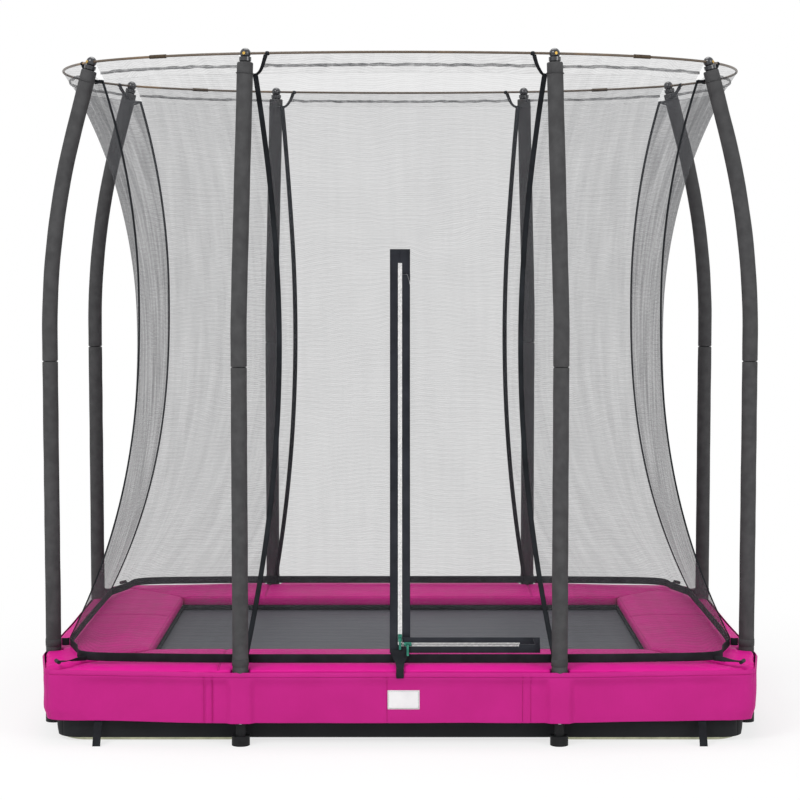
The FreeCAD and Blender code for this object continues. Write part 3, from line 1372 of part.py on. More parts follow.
def pad_section(kind, sign, along, out, dip):
    """The closed outline of a pad across its width at one place along it."""
    inner = INNER_Y if kind == "front" else INNER_X
    frame_out = (size("frame_width") if kind == "front" else size("frame_length")) / 2
    floor = size("rail_top") + size("pad_lift")
    rim = size("pad_rim") - dip
    bend = size("pad_roll") / 2
    edge = out - bend
    points = []
    for distance, height in (
        (inner, floor),
        (inner, floor + size("pad_inner") - dip / 2),
        ((inner + edge) / 2, size("pad_crown") - dip),
        (edge, rim),
        (out, rim - bend),
        (edge, rim - 2 * bend),
        (frame_out, floor),
    ):
        points += plan(kind, sign, [(along, distance)], height)
    return Part.Wire([
        Part.makeLine(points[0], points[1]),
        Part.Arc(points[1], points[2], points[3]).toShape(),
        Part.Arc(points[3], points[4], points[5]).toShape(),
        Part.makeLine(points[5], points[6]),
        Part.makeLine(points[6], points[0]),
    ])


def pad(kind, sign):
    (_, full), (shoulder, _), (tip, tip_out) = skirt_line(kind)
    full -= size("pad_gap")
    tip_out -= size("pad_gap")
    stations = [(-tip, tip_out, size("pad_dip")), (-shoulder, full, 0), (0, full - size("pad_draw"), 0),
                (shoulder, full, 0), (tip, tip_out, size("pad_dip"))]
    body = loft([pad_section(kind, sign, along, out, dip) for along, out, dip in stations])
    body = body.common(sector(kind, sign, 0, LOW))
    spot = value(POLE_X) if kind == "front" else value(POLE_Y)
    out = value(FRONT_Y) if kind == "front" else value(SIDE_X)
    radius = size("pad_notch")
    for side in (-1, 1):
        hole = Part.makeCylinder(radius, LOW, plan(kind, sign, [(spot * side, out)])[0])
        mouth = [(spot * side - radius, out), (spot * side + radius, out),
                 (spot * side + radius, out + 2 * radius), (spot * side - radius, out + 2 * radius)]
        body = body.cut(hole.fuse(slab(plan(kind, sign, mouth), 0, LOW)))
    return body


for label, kind, sign in SIDES:
    feature_node("pad_" + label, [pad(kind, sign)])


# Skirt under the pads' outer edge and ground cover round the frame, one sheet to a side

def skirt_sheet(kind, sign):
    line = skirt_line(kind)
    inner = [(-along, out) for along, out in line[:0:-1]] + line
    outer = [(along, out + size("skirt_thickness")) for along, out in inner]
    low, high = size("skirt_bottom"), size("skirt_top")
    return slab(plan(kind, sign, inner + outer[::-1]), low, high).common(sector(kind, sign, low, high))


feature_node("skirt", [skirt_sheet(kind, sign) for _, kind, sign in SIDES])


def rounded(grow):
    """A block that stands on the ground cover's outline, this much outside the frame."""
    half_length = size("frame_length") / 2 + grow
    half_width = size("frame_width") / 2 + grow
    low, high = size("cover_bottom"), size("cover_top")
    box = Part.makeBox(2 * half_length, 2 * half_width, high - low, Vector(-half_length, -half_width, low))
    upright = [edge for edge in box.Edges if abs(edge.Vertexes[0].Z - edge.Vertexes[1].Z) > 1]
    return box.makeFillet(size("corner_bend") + size("rail_diameter") / 2 + grow, upright)


cover_wall = rounded(size("cover_gap") + size("cover_thickness")).cut(rounded(size("cover_gap")))
eyelets = []
for pole, sign_x, sign_y in TOPS:
    x = value(POLE_X if pole == "front" else RAIL_X) * sign_x
    y = value(RAIL_Y if pole == "front" else POLE_Y) * sign_y
    way = Vector(0, sign_y, 0) if pole == "front" else Vector(sign_x, 0, 0)
    for height in CLAMPS:
        eyelets.append(Part.makeCylinder(size("spacer_diameter") / 2 + size("fit_gap"), value(LEG_REACH),
                                         Vector(x, y, value(height)), way))
cover_wall = cover_wall.cut(Part.makeCompound(eyelets))
covers = [cover_wall.common(sector(kind, sign, 0, size("rail_top"))).Solids[0] for _, kind, sign in SIDES]
feature_node("ground_cover", covers)


# Webbing: loops round the poles, corner straps with toggles, a tab at the door and two ground straps

UP = Vector(0, 0, 1)
STRAP = size("strap_width")
THIN = size("strap_thickness")


def flat_strap(start, end, across_way):
    """A flat strap from one point to another, its width along a given direction."""
    side = Vector(across_way)
    side.normalize()
    normal = toward(start, end).cross(side)
    normal.normalize()
    points = [start + side * (STRAP / 2 * wide) + normal * (THIN / 2 * deep)
              for wide, deep in ((-1, -1), (1, -1), (1, 1), (-1, 1))]
    return Part.Face(Part.makePolygon(points + [points[0]])).extrude(end - start)


webbing = []
loop_inner = size("foam_diameter") / 2 + size("fit_gap")
for pole, sign_x, sign_y in TOPS:
    x = value(POLE_X if pole == "front" else SIDE_X) * sign_x
    y = value(FRONT_Y if pole == "front" else POLE_Y) * sign_y
    centre = Vector(x, y, size("strap_height"))
    seam = signed([front_seam(LOW) if pole == "front" else side_seam(LOW)], sign_x, sign_y)[0]
    seam.z = centre.z
    way = toward(centre, seam)
    middle = UP * (STRAP / 2)
    link = flat_strap(centre + way * (loop_inner + THIN / 2) + middle, seam - way * size("strap_gap") + middle, UP)
    loop = Part.makeCylinder(loop_inner + THIN, STRAP, centre).fuse(link)
    webbing.append(loop.cut(Part.makeCylinder(loop_inner, STRAP, centre)))

toggles = []
toggle_radius = size("toggle_diameter") / 2
pad_top = size("pad_crown") + size("toggle_clear")
for sign_x, sign_y in SIGNS:
    corner = signed([corner_middle(LOW)], sign_x, sign_y)[0]
    corner.z = 0
    toggle = Vector((CORNER_OUT_X - size("toggle_inset")) * sign_x, (CORNER_OUT_Y - size("toggle_inset")) * sign_y, 0)
    way = toward(corner, toggle)
    across_way = Vector(-way.y, way.x, 0)
    level = UP * (pad_top + toggle_radius)
    webbing.append(flat_strap(corner + way * size("strap_gap") + level,
                              toggle - way * (toggle_radius + size("fit_gap")) + level, across_way))
    toggles.append(Part.makeCylinder(toggle_radius, size("toggle_length"),
                                     toggle - across_way * (size("toggle_length") / 2) + level, across_way))

door_band = wall_y(LOW, size("wall_top")) + size("strap_gap")
tab_z = pad_top + THIN
webbing.append(flat_strap(Vector(0, -door_band, tab_z), Vector(0, size("pad_roll") / 2 - SKIRT_Y, tab_z), SIDEWAYS))

(_, _), (shoulder, full), (tip, tip_out) = skirt_line("front")
for side in (-1, 1):
    place = size("tail_place")
    share = (place + STRAP / 2 - shoulder) / (tip - shoulder)
    face = full + (tip_out - full) * share - size("fit_gap") - THIN
    hem_z = size("skirt_bottom")
    profile = [(face, size("tail_top")), (face + THIN, size("tail_top")), (face + THIN, hem_z),
               (size("tail_foot") + THIN, 0), (size("tail_foot"), 0), (face, hem_z)]
    points = [Vector(place * side - STRAP / 2, -out, height) for out, height in profile]
    webbing.append(Part.Face(Part.makePolygon(points + [points[0]])).extrude(SIDEWAYS * STRAP))
feature_node("webbing_straps", webbing)
feature_node("strap_toggles", toggles)


# Every object is checked before a file is written

doc.recompute()
faults = []
for item in doc.Objects:
    if "Invalid" in item.State or "Error" in item.State:
        faults.append("%s is %s" % (item.Name, item.State))
for item in nodes:
    shape = item.Shape
    if shape.isNull() or not shape.Solids:
        faults.append("%s has no solid" % item.Label)
    elif not shape.isValid() or min(one.Volume for one in shape.Solids) <= 0:
        faults.append("%s is not valid" % item.Label)
if faults:
    raise RuntimeError("; ".join(faults))

os.makedirs("parts", exist_ok=True)
for item in nodes:
    item.Shape.exportStep("parts/%s.step" % item.Label)
print("wrote %d sub-parts" % len(nodes))
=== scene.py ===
import json
from math import asin, atan2, copysign, cos, exp, hypot, pi, radians, sin, sqrt, tan

import bmesh
import bpy
import numpy as np
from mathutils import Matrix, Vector, noise
from mathutils.bvhtree import BVHTree


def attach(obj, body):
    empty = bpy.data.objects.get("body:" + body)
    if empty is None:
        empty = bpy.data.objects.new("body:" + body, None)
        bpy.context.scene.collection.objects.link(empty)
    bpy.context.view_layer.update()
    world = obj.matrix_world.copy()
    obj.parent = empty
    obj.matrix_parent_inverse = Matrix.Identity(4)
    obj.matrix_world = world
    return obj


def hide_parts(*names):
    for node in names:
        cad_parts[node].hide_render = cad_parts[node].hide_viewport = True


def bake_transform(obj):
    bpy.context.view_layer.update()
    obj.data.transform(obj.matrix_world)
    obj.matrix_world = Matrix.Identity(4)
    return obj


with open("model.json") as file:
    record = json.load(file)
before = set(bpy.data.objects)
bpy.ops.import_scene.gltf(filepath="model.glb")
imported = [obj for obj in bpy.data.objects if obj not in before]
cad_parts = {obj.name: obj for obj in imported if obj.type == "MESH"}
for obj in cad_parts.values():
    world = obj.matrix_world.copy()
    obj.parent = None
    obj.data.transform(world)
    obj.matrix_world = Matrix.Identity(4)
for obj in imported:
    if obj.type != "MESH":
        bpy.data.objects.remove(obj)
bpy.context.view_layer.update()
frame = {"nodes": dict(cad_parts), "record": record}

# Sizes in millimetres, as in the part's source. X runs along the long side, the door faces -Y.

MM = 0.001
LOW = 272.0             # foot of the net
WAIST = 1250.0          # height of the walls' waist
FLARE = 1560.0          # above it the front and back walls lean out straight
TIE = 2060.0            # top of the net's panels
RING = 2116.0
MIDDLE = 1200.0         # where the corner panels change their fullness
RAIL_TOP = 200.0
FOAM = 25.0
POLE_BEND = 2600.0
BEND_START = 1240.0
POLE_SPOT = {"front": (491.0, 815.0), "side": (490.0, 1120.0)}      # along a side, out from the middle
HALF_FRAME = {"front": 765.0, "side": 1070.0}
SIGNS = [(-1, -1), (1, -1), (-1, 1), (1, 1)]
SIDES = [("front", "front", -1), ("back", "front", 1), ("left", "side", -1), ("right", "side", 1)]
HINGE_START = Vector((0.21, -0.56, 0.905))
HINGE_END = HINGE_START + Vector((-0.9447, 0, -0.3279)) * 0.12
DOOR = ("frame", "door_flap", HINGE_START, HINGE_END)


def V(x, y, z=0.0):
    return Vector((x, y, z))


UP = V(0, 0, 1)
RIGHT = V(1, 0, 0)


def smooth(t):
    t = min(max(t, 0.0), 1.0)
    return t * t * (3 - 2 * t)


def steps_between(low, high, count):
    return [low + (high - low) * i / count for i in range(count + 1)]


def around(count):
    return [2 * pi * k / count for k in range(count)]


def ripples(x, y, z):
    """Smooth noise between -1 and 1 by place."""
    return noise.noise(V(x, y, z))


def beside(line, i):
    """The neighbours of a point in an open line."""
    return line[max(i - 1, 0)], line[min(i + 1, len(line) - 1)]


def on_side(kind, sign, along, out, z=0.0):
    """A point given by its place along a side and its distance out from the middle."""
    return V(along, out * sign, z) if kind == "front" else V(out * sign, along, z)


def words(sx, sy):
    return "left" if sx < 0 else "right", "front" if sy < 0 else "back"


# The eight panels of the net: name, kind and the signs that turn the kind's shape into place
EDGES = [("front", "front", 1, -1), ("back", "front", 1, 1), ("left", "side", -1, 1), ("right", "side", 1, 1)]
EDGES += [("corner_%s_%s" % words(sx, sy)[::-1], "corner", sx, sy) for sx, sy in SIGNS]


# The net's shape, as in the part

def waisted(z, waist, waist_z, foot, low_power, top, high_power):
    if z < waist_z:
        return waist + (foot - waist) * ((waist_z - z) / (waist_z - LOW)) ** low_power
    return waist + (top - waist) * ((z - waist_z) / (TIE - waist_z)) ** high_power


def hooped(z, waist, waist_z, radius, top):
    low = min(z, FLARE)
    distance = waist + radius - sqrt(radius ** 2 - (low - waist_z) ** 2)
    if z <= FLARE:
        return distance
    slope = (FLARE - waist_z) / sqrt(radius ** 2 - (FLARE - waist_z) ** 2)
    run = TIE - FLARE
    share = (z - FLARE) / run
    return distance + slope * run * share + (top - distance - slope * run) * share ** 2


def wall_y(z, top=775.0):
    return hooped(z, 505.0, WAIST, 2000.0, top)


def front_seam(z):
    return V(hooped(z, 385.0, 1228.0, 5020.0, 443.0), wall_y(z, 720.0), z)


def side_middle(z):
    return V(waisted(z, 885.0, 1150.0, 1072.0, 2.4, 1100.0, 2.3), 0, z)


def side_seam(z):
    return V(waisted(z, 843.0, 1350.0, 1069.0, 2.4, 946.0, 2.05), waisted(z, 433.0, 1350.0, 480.0, 2, 480.0, 2), z)


def outward(start, end):
    along = end - start
    normal = V(along.y, -along.x).normalized()
    return normal if normal.dot((start + end) * 0.5) > 0 else -normal


def corner_middle(z):
    start, end = front_seam(z), side_seam(z)
    drop = max(MIDDLE - z, 0) / (MIDDLE - LOW)
    climb = max(z - MIDDLE, 0) / (TIE - MIDDLE)
    share = 0.5 + 0.22 * drop ** 1.5
    out = 15.0 + 162.0 * drop ** 2.2 + 60.0 * climb ** 2
    return start + (end - start) * share + outward(start, end) * out


def halfway(start, end):
    return (start + end) * 0.5 + outward(start, end) * ((end - start).length * 0.02)


def front_way(z):
    seam = front_seam(z)
    angle = 2 * atan2(wall_y(z) - seam.y, seam.x)
    return V(-cos(angle), sin(angle))


def side_way(z):
    seam = side_seam(z)
    angle = 2 * atan2(side_middle(z).x - seam.x, seam.y)
    return V(sin(angle), -cos(angle))


SEAM = {"front": front_seam, "side": side_seam}
WAY = {"front": front_way, "side": side_way}


def panel_points(kind, z, inset):
    if kind == "front":
        end = front_seam(z) + front_way(z) * inset
        return [V(-end.x, end.y, z), V(0, wall_y(z), z), end]
    if kind == "side":
        end = side_seam(z) + side_way(z) * inset
        return [V(end.x, -end.y, z), side_middle(z), end]
    middle = corner_middle(z)
    start, end = front_seam(z), side_seam(z)
    start = start + (middle - start).normalized() * inset
    end = end + (middle - end).normalized() * inset
    return [start, halfway(start, middle), middle, halfway(middle, end), end]


def arc_points(a, b, c, count):
    """Points along the arc through three points at one height."""
    area = (b - a).cross(c - a).z
    if abs(area) < 1e-3 * (c - a).length ** 2:
        return [a.lerp(c, i / count) for i in range(count + 1)]
    d = 2 * area
    bb, cc = b - a, c - a
    ux = (cc.y * bb.length_squared - bb.y * cc.length_squared) / d
    uy = (bb.x * cc.length_squared - cc.x * bb.length_squared) / d
    centre = V(a.x + ux, a.y + uy, a.z)
    radius = hypot(ux, uy)
    first = atan2(a.y - centre.y, a.x - centre.x)
    sense = 1 if area > 0 else -1
    sweep = (atan2(c.y - centre.y, c.x - centre.x) - first) * sense % (2 * pi) * sense
    return [V(centre.x + radius * cos(t), centre.y + radius * sin(t), a.z)
            for t in (first + sweep * i / count for i in range(count + 1))]


def panel_line(points, count):
    """The whole outer line of a panel at one height."""
    if len(points) == 3:
        return arc_points(*points, count)
    spots = [points[0] * 2 - points[1]] + points + [points[-1] * 2 - points[-2]]
    line = []
    for i in range(1, 5):
        a, b, c, d = spots[i - 1:i + 3]
        for k in range(count // 2):
            t = k / (count // 2)
            line.append((b * 2 + (c - a) * t + (a * 2 - b * 5 + c * 4 - d) * t * t
                         + (b * 3 - a - c * 3 + d) * t ** 3) * 0.5)
    return line + [points[-1]]


def flipped(points, sx, sy):
    return [V(p.x * sx, p.y * sy, p.z) for p in points]


def moved_in(points, distance):
    """Points of a level line moved towards the middle of the trampoline."""
    return [point - outward(*beside(points, i)) * distance for i, point in enumerate(points)]


# Poles and the ring

def pole_axis(pole, sx, sy, z):
    lean = radians(3.0 if pole == "front" else 15.0)
    turn = radians(57.0) if pole == "front" else 0.0
    foot = on_side(pole, 1, *POLE_SPOT[pole])
    angle = drift = 0.0
    if z > BEND_START:
        angle = min(asin(min((z - BEND_START) / POLE_BEND, 1.0)), lean)
        drift = POLE_BEND * (1 - cos(angle)) + max(z - BEND_START - POLE_BEND * sin(lean), 0) * tan(lean)
    axis = V(-sin(angle) * cos(turn) * sx, -sin(angle) * sin(turn) * sy, cos(angle))
    return V((foot.x - drift * cos(turn)) * sx, (foot.y - drift * sin(turn)) * sy, z), axis


TOPS = {(pole, sx, sy): pole_axis(pole, sx, sy, RING)[0] for pole in ("front", "side") for sx, sy in SIGNS}
BULGE = {"front": 48.0, "side": 158.0, "corner": 46.0}


def bow_radius(span, bulge):
    return (span * span / 4 + bulge * bulge) / (2 * bulge)


def on_bow(start, end, bulge, reach):
    """The point of a bowed rod at a distance from its start."""
    radius = bow_radius((end - start).length, bulge)
    centre = (start + end) * 0.5 - outward(start, end) * (radius - bulge)
    first = atan2(start.y - centre.y, start.x - centre.x)
    last = atan2(end.y - centre.y, end.x - centre.x)
    sweep = (last - first + pi) % (2 * pi) - pi
    angle = first + copysign(reach / radius, sweep)
    return V(centre.x + cos(angle) * radius, centre.y + sin(angle) * radius, start.z)


# Materials

GLOSS = "Specular IOR Level"


def srgb(r, g, b):
    return [((c / 255) / 12.92 if c <= 10 else ((c / 255 + 0.055) / 1.055) ** 2.4) for c in (r, g, b)] + [1.0]


class Graph:
    """A node tree that is built by calls. A value is a socket or plain."""

    def __init__(self, tree):
        self.tree = tree

    def feed(self, socket, value):
        if hasattr(value, "is_output"):
            self.tree.links.new(value, socket)
        else:
            socket.default_value = value

    def node(self, kind, values=None, **settings):
        made = self.tree.nodes.new(kind)
        for key, value in settings.items():
            setattr(made, key, value)
        for key, value in (values or {}).items():
            self.feed(made.inputs[key], value)
        return made

    def math(self, kind, first, second):
        return self.node("ShaderNodeMath", {0: first, 1: second}, operation=kind).outputs[0]

    def span(self, value, low, high, new_low=0.0, new_high=1.0):
        return self.node("ShaderNodeMapRange", {"Value": value, "From Min": low, "From Max": high,
                                                "To Min": new_low, "To Max": new_high}).outputs["Result"]

    def seen(self):
        """1 for rays from the camera, from gloss and through glass."""
        path = self.node("ShaderNodeLightPath").outputs
        bounced = self.math("MAXIMUM", path["Is Glossy Ray"], path["Is Transmission Ray"])
        return self.math("MAXIMUM", path["Is Camera Ray"], bounced)

    def shown(self, share, plain, white, end):
        """Mixes a plain and a white surface and ends the tree."""
        mix = self.node("ShaderNodeMixShader", {0: share, 1: plain.outputs[0], 2: white.outputs[0]})
        self.tree.links.new(mix.outputs[0], end.inputs["Surface"])


class Look(Graph):
    """A procedural material on a Principled shader."""

    def __init__(self, name, roughness=0.6, metallic=0.0):
        self.material = bpy.data.materials.new(name)
        self.material.use_nodes = True
        super().__init__(self.material.node_tree)
        self.shader = self.tree.nodes["Principled BSDF"]
        self.set("Roughness", roughness)
        self.set("Metallic", metallic)
        self.coordinates = self.tree.nodes.new("ShaderNodeTexCoord")
        self.normal = None

    def place(self, scale=(1, 1, 1), source="Object"):
        return self.node("ShaderNodeMapping", {"Vector": self.coordinates.outputs[source], "Scale": scale}).outputs[0]

    def noise(self, scale, detail=3.0, rough=0.55, stretch=(1, 1, 1), source="Object"):
        return self.node("ShaderNodeTexNoise", {"Vector": self.place(stretch, source), "Scale": scale,
                                                "Detail": detail, "Roughness": rough}).outputs["Fac"]

    def wave(self, scale, axis, distortion, at=None):
        at = self.place() if at is None else at
        values = {"Vector": at, "Scale": scale, "Distortion": distortion, "Detail": 2.0, "Detail Scale": 1.5}
        return self.node("ShaderNodeTexWave", values, bands_direction=axis).outputs["Fac"]

    def tint(self, factor, first, second):
        return self.node("ShaderNodeMix", {0: factor, 6: first, 7: second}, data_type="RGBA").outputs[2]

    def set(self, name, value):
        self.feed(self.shader.inputs[name], value)

    def bump(self, height, strength, distance):
        values = {"Height": height, "Strength": strength, "Distance": distance}
        if self.normal:
            values["Normal"] = self.normal
        self.normal = self.node("ShaderNodeBump", values).outputs["Normal"]
        self.set("Normal", self.normal)


def woven(name, colour, deep, roughness, thread, patch, height):
    """Cloth with a fine weave, cloudy colour and shallow creases."""
    look = Look(name, roughness)
    weft, warp, across = (look.wave(thread, axis, 0.4) for axis in "XZY")
    weave = look.math("ADD", look.math("MULTIPLY", weft, warp), look.math("MULTIPLY", warp, across))
    cloud = look.span(look.noise(patch, 4), 0.32, 0.68)
    look.set("Base Color", look.tint(look.math("MULTIPLY", cloud, look.span(weave, 0, 1.2, 0.72, 1.0)), deep, colour))
    look.set("Roughness", look.span(look.noise(patch * 2, 3), 0.3, 0.7, roughness - 0.05, roughness + 0.06))
    look.bump(weave, 0.25, height)
    look.bump(look.noise(patch * 1.6, 4), 0.3, 0.004)
    return look


def webbing(name, colour, deep):
    """Ribbed webbing."""
    look = Look(name, 0.72)
    ribs = look.math("MAXIMUM", look.wave(150, "X", 0.8), look.wave(150, "Z", 0.8))
    cloud = look.math("MULTIPLY", look.span(look.noise(14, 4), 0.3, 0.7), look.span(ribs, 0, 1, 0.5, 1.0))
    look.set("Base Color", look.tint(cloud, deep, colour))
    look.set(GLOSS, 0.12)
    look.bump(ribs, 0.3, 0.0006)
    return look


def gauze(name, thin, dense, streak, thread=55.0):
    """Fine net: dark threads over clear gaps, with level lines and upright streaks."""
    look = Look(name, 0.8)
    flat = look.coordinates.outputs["UV"]
    drift = look.node("ShaderNodeTexNoise", {"Vector": flat, "Scale": 3.2, "Detail": 2.0})
    bend = look.node("ShaderNodeVectorMath", {0: drift.outputs["Color"], "Scale": 0.11}, operation="SCALE")
    moved = look.node("ShaderNodeVectorMath", {0: flat, 1: bend.outputs[0]}, operation="ADD").outputs[0]
    lines, fine, broad = (look.wave(thread * scale, axis, distortion, moved)
                          for scale, axis, distortion in ((1, "Y", 2.2), (2.6, "X", 1.2), (0.35, "Y", 3.5)))
    cloud = look.noise(5.0, 4, 0.6, (1, 1.6, 1), "UV")
    upright = look.span(look.noise(9.0, 5, 0.6, (4.0, 0.35, 1), "UV"), 0.38, 0.66)
    threads = look.math("ADD", look.math("MULTIPLY", lines, 0.56), look.math("MULTIPLY", fine, 0.22))
    threads = look.math("ADD", threads, look.math("MULTIPLY", broad, 0.22))
    cover = look.span(threads, 0.12, 0.95, thin, dense)
    cover = look.math("MULTIPLY", cover, look.span(cloud, 0.3, 0.7, 0.93, 1.08))
    look.set("Alpha", look.math("ADD", cover, look.math("MULTIPLY", upright, streak)))
    look.set("Base Color", look.tint(cloud, srgb(66, 67, 70), srgb(92, 93, 96)))
    look.set(GLOSS, 0.1)
    return look


def metal(name, colour, deep, roughness, grain=60.0):
    look = Look(name, roughness, 1.0)
    patch = look.noise(grain, 4, 0.6)
    look.set("Base Color", look.tint(look.span(patch, 0.3, 0.7), deep, colour))
    look.set("Roughness", look.span(patch, 0.3, 0.7, roughness - 0.08, roughness + 0.1))
    look.bump(look.noise(grain * 3, 3), 0.12, 0.0004)
    return look


def plastic(name, colour, deep, roughness, grain=45.0):
    look = Look(name, roughness)
    patch = look.noise(grain, 4)
    look.set("Base Color", look.tint(look.span(patch, 0.35, 0.65), deep, colour))
    look.set("Roughness", look.span(patch, 0.3, 0.7, roughness - 0.06, roughness + 0.06))
    look.bump(look.noise(grain * 14, 2), 0.08, 0.0003)
    return look


# Maker, name, colour, deeper colour, the maker's other values, and values of the shader
MADE = (
    (woven, "pad_cover", (222, 26, 148), (210, 20, 138), (0.55, 420, 7.0, 0.0003), {GLOSS: 0.1}),
    (woven, "skirt_cloth", (192, 30, 132), (182, 24, 123), (0.6, 380, 6.0, 0.0003), {GLOSS: 0.2}),
    (woven, "cover_cloth", (30, 32, 35), (18, 19, 22), (0.7, 300, 8.0, 0.0003), {GLOSS: 0.25}),
    (webbing, "loop_webbing", (74, 74, 75), (62, 62, 63), (), {}),
    (webbing, "black_webbing", (40, 43, 47), (20, 22, 25), (), {}),
    (webbing, "zip_cloth", (48, 50, 56), (32, 34, 39), (), {}),
    (plastic, "grey_foam", (74, 74, 75), (62, 62, 63), (0.85, 30.0), {GLOSS: 0.25}),
    (metal, "galvanised_steel", (196, 196, 168), (150, 152, 128), (0.4, 34.0), {}),
    (metal, "fastener_steel", (190, 192, 196), (140, 142, 146), (0.34,), {}),
    (metal, "spring_steel", (200, 202, 206), (150, 152, 158), (0.3, 90.0), {}),
    (plastic, "black_coated_steel", (26, 27, 29), (17, 18, 19), (0.5,), {GLOSS: 0.2}),
    (metal, "slider_metal", (60, 122, 104), (34, 88, 76), (0.42, 80.0), {}),
    (metal, "cap_bolt_metal", (214, 180, 96), (170, 132, 60), (0.3, 90.0), {}),
    (plastic, "cap_plastic", (36, 37, 42), (22, 23, 27), (0.26,), {"Coat Weight": 0.5}),
    (plastic, "black_plastic", (28, 29, 31), (18, 19, 20), (0.55,), {GLOSS: 0.2}),
    (metal, "rod_sleeve", (86, 75, 62), (66, 57, 48), (0.45,), {}),
    (webbing, "cord", (38, 40, 44), (18, 20, 22), (), {}),
    (plastic, "teeth", (226, 226, 224), (196, 196, 196), (0.45, 160.0), {}),
    (woven, "label_cloth", (240, 240, 240), (222, 222, 224), (0.7, 500, 12.0, 0.0002), {}),
    (webbing, "thread_pink", (176, 30, 112), (140, 20, 90), (), {}),
    (webbing, "thread_grey", (128, 128, 132), (84, 84, 88), (), {}),
)
LOOKS = {}
for maker, name, colour, deep, others, settings in MADE:
    LOOKS[name] = maker(name, srgb(*colour), srgb(*deep), *others)
    for key, value in settings.items():
        LOOKS[name].set(key, value)
LOOKS["grey_foam"].bump(LOOKS["grey_foam"].noise(420, 3), 0.35, 0.0009)
for name, *values in (("net_gauze", 0.15, 0.26, 0.02), ("net_side", 0.34, 0.56, 0.24),
                      ("net_corner", 0.19, 0.34, 0.08), ("net_hem", 0.18, 0.32, 0.05, 48.0),
                      ("net_gather", 0.22, 0.5, 0.22, 48.0)):
    LOOKS[name] = gauze(name, *values)
NET_LOOK = {"front": "net_gauze", "side": "net_side", "corner": "net_corner"}

rod = LOOKS["fibreglass_rod"] = Look("fibreglass_rod", 0.38)
speckled = rod.tint(rod.noise(160.0, 3), srgb(72, 61, 52), srgb(100, 86, 70))
rod.set("Base Color", rod.tint(rod.span(rod.noise(5.0, 2, 0.5), 0.60, 0.74), speckled, srgb(134, 108, 78)))
rod.bump(rod.noise(260.0, 2), 0.2, 0.0004)

weave = LOOKS["mat_weave"] = Look("mat_weave", 0.62)
grid = weave.math("MULTIPLY", weave.wave(70.0, "Y", 0.5), weave.wave(70.0, "X", 0.5))
cloud = weave.math("MULTIPLY", weave.noise(3.4, 4, 0.6, (0.5, 1.2, 1)), 0.5)
shade = weave.math("ADD", weave.math("MULTIPLY", weave.wave(5.5, "Y", 1.6), 0.18), cloud)
shade = weave.math("ADD", weave.math("MULTIPLY", grid, 0.5), shade)
weave.set("Base Color", weave.tint(weave.span(shade, 0.15, 0.9), srgb(62, 64, 70), srgb(92, 94, 101)))
weave.bump(grid, 0.4, 0.0008)

# The record's slot of each look that isn't a slot itself
SLOT_OF = {"thread_pink": "pad_cover", "thread_grey": "mat_weave", "label_cloth": "skirt_cloth"}
SLOT_OF.update((look, "net_gauze") for look in ("net_side", "net_corner", "net_hem", "net_gather"))
SLOT_OF.update((look, "black_webbing") for look in ("zip_cloth", "cord", "cover_cloth", "loop_webbing", "teeth"))


# Mesh helpers. Points come in millimetres.

def link(name, data):
    item = bpy.data.objects.new(name, data)
    bpy.context.scene.collection.objects.link(item)
    return item


def make(name, points, faces, look, uvs=None, flat=False):
    mesh = bpy.data.meshes.new(name)
    mesh.from_pydata([(p[0] * MM, p[1] * MM, p[2] * MM) for p in points], [], faces)
    mesh.update()
    if uvs:
        layer = mesh.uv_layers.new(name="UVMap")
        for loop in mesh.loops:
            layer.data[loop.index].uv = uvs[loop.vertex_index]
    item = link(name, mesh)
    mesh.materials.append(LOOKS[look].material)
    smoothed(item, not flat)
    return item


def smoothed(item, on=True):
    for face in item.data.polygons:
        face.use_smooth = on


def rows_to_faces(rows, columns, closed=False):
    faces = []
    for i in range(rows - 1):
        for j in range(columns if closed else columns - 1):
            k = (j + 1) % columns
            faces.append((i * columns + j, i * columns + k, (i + 1) * columns + k, (i + 1) * columns + j))
    return faces


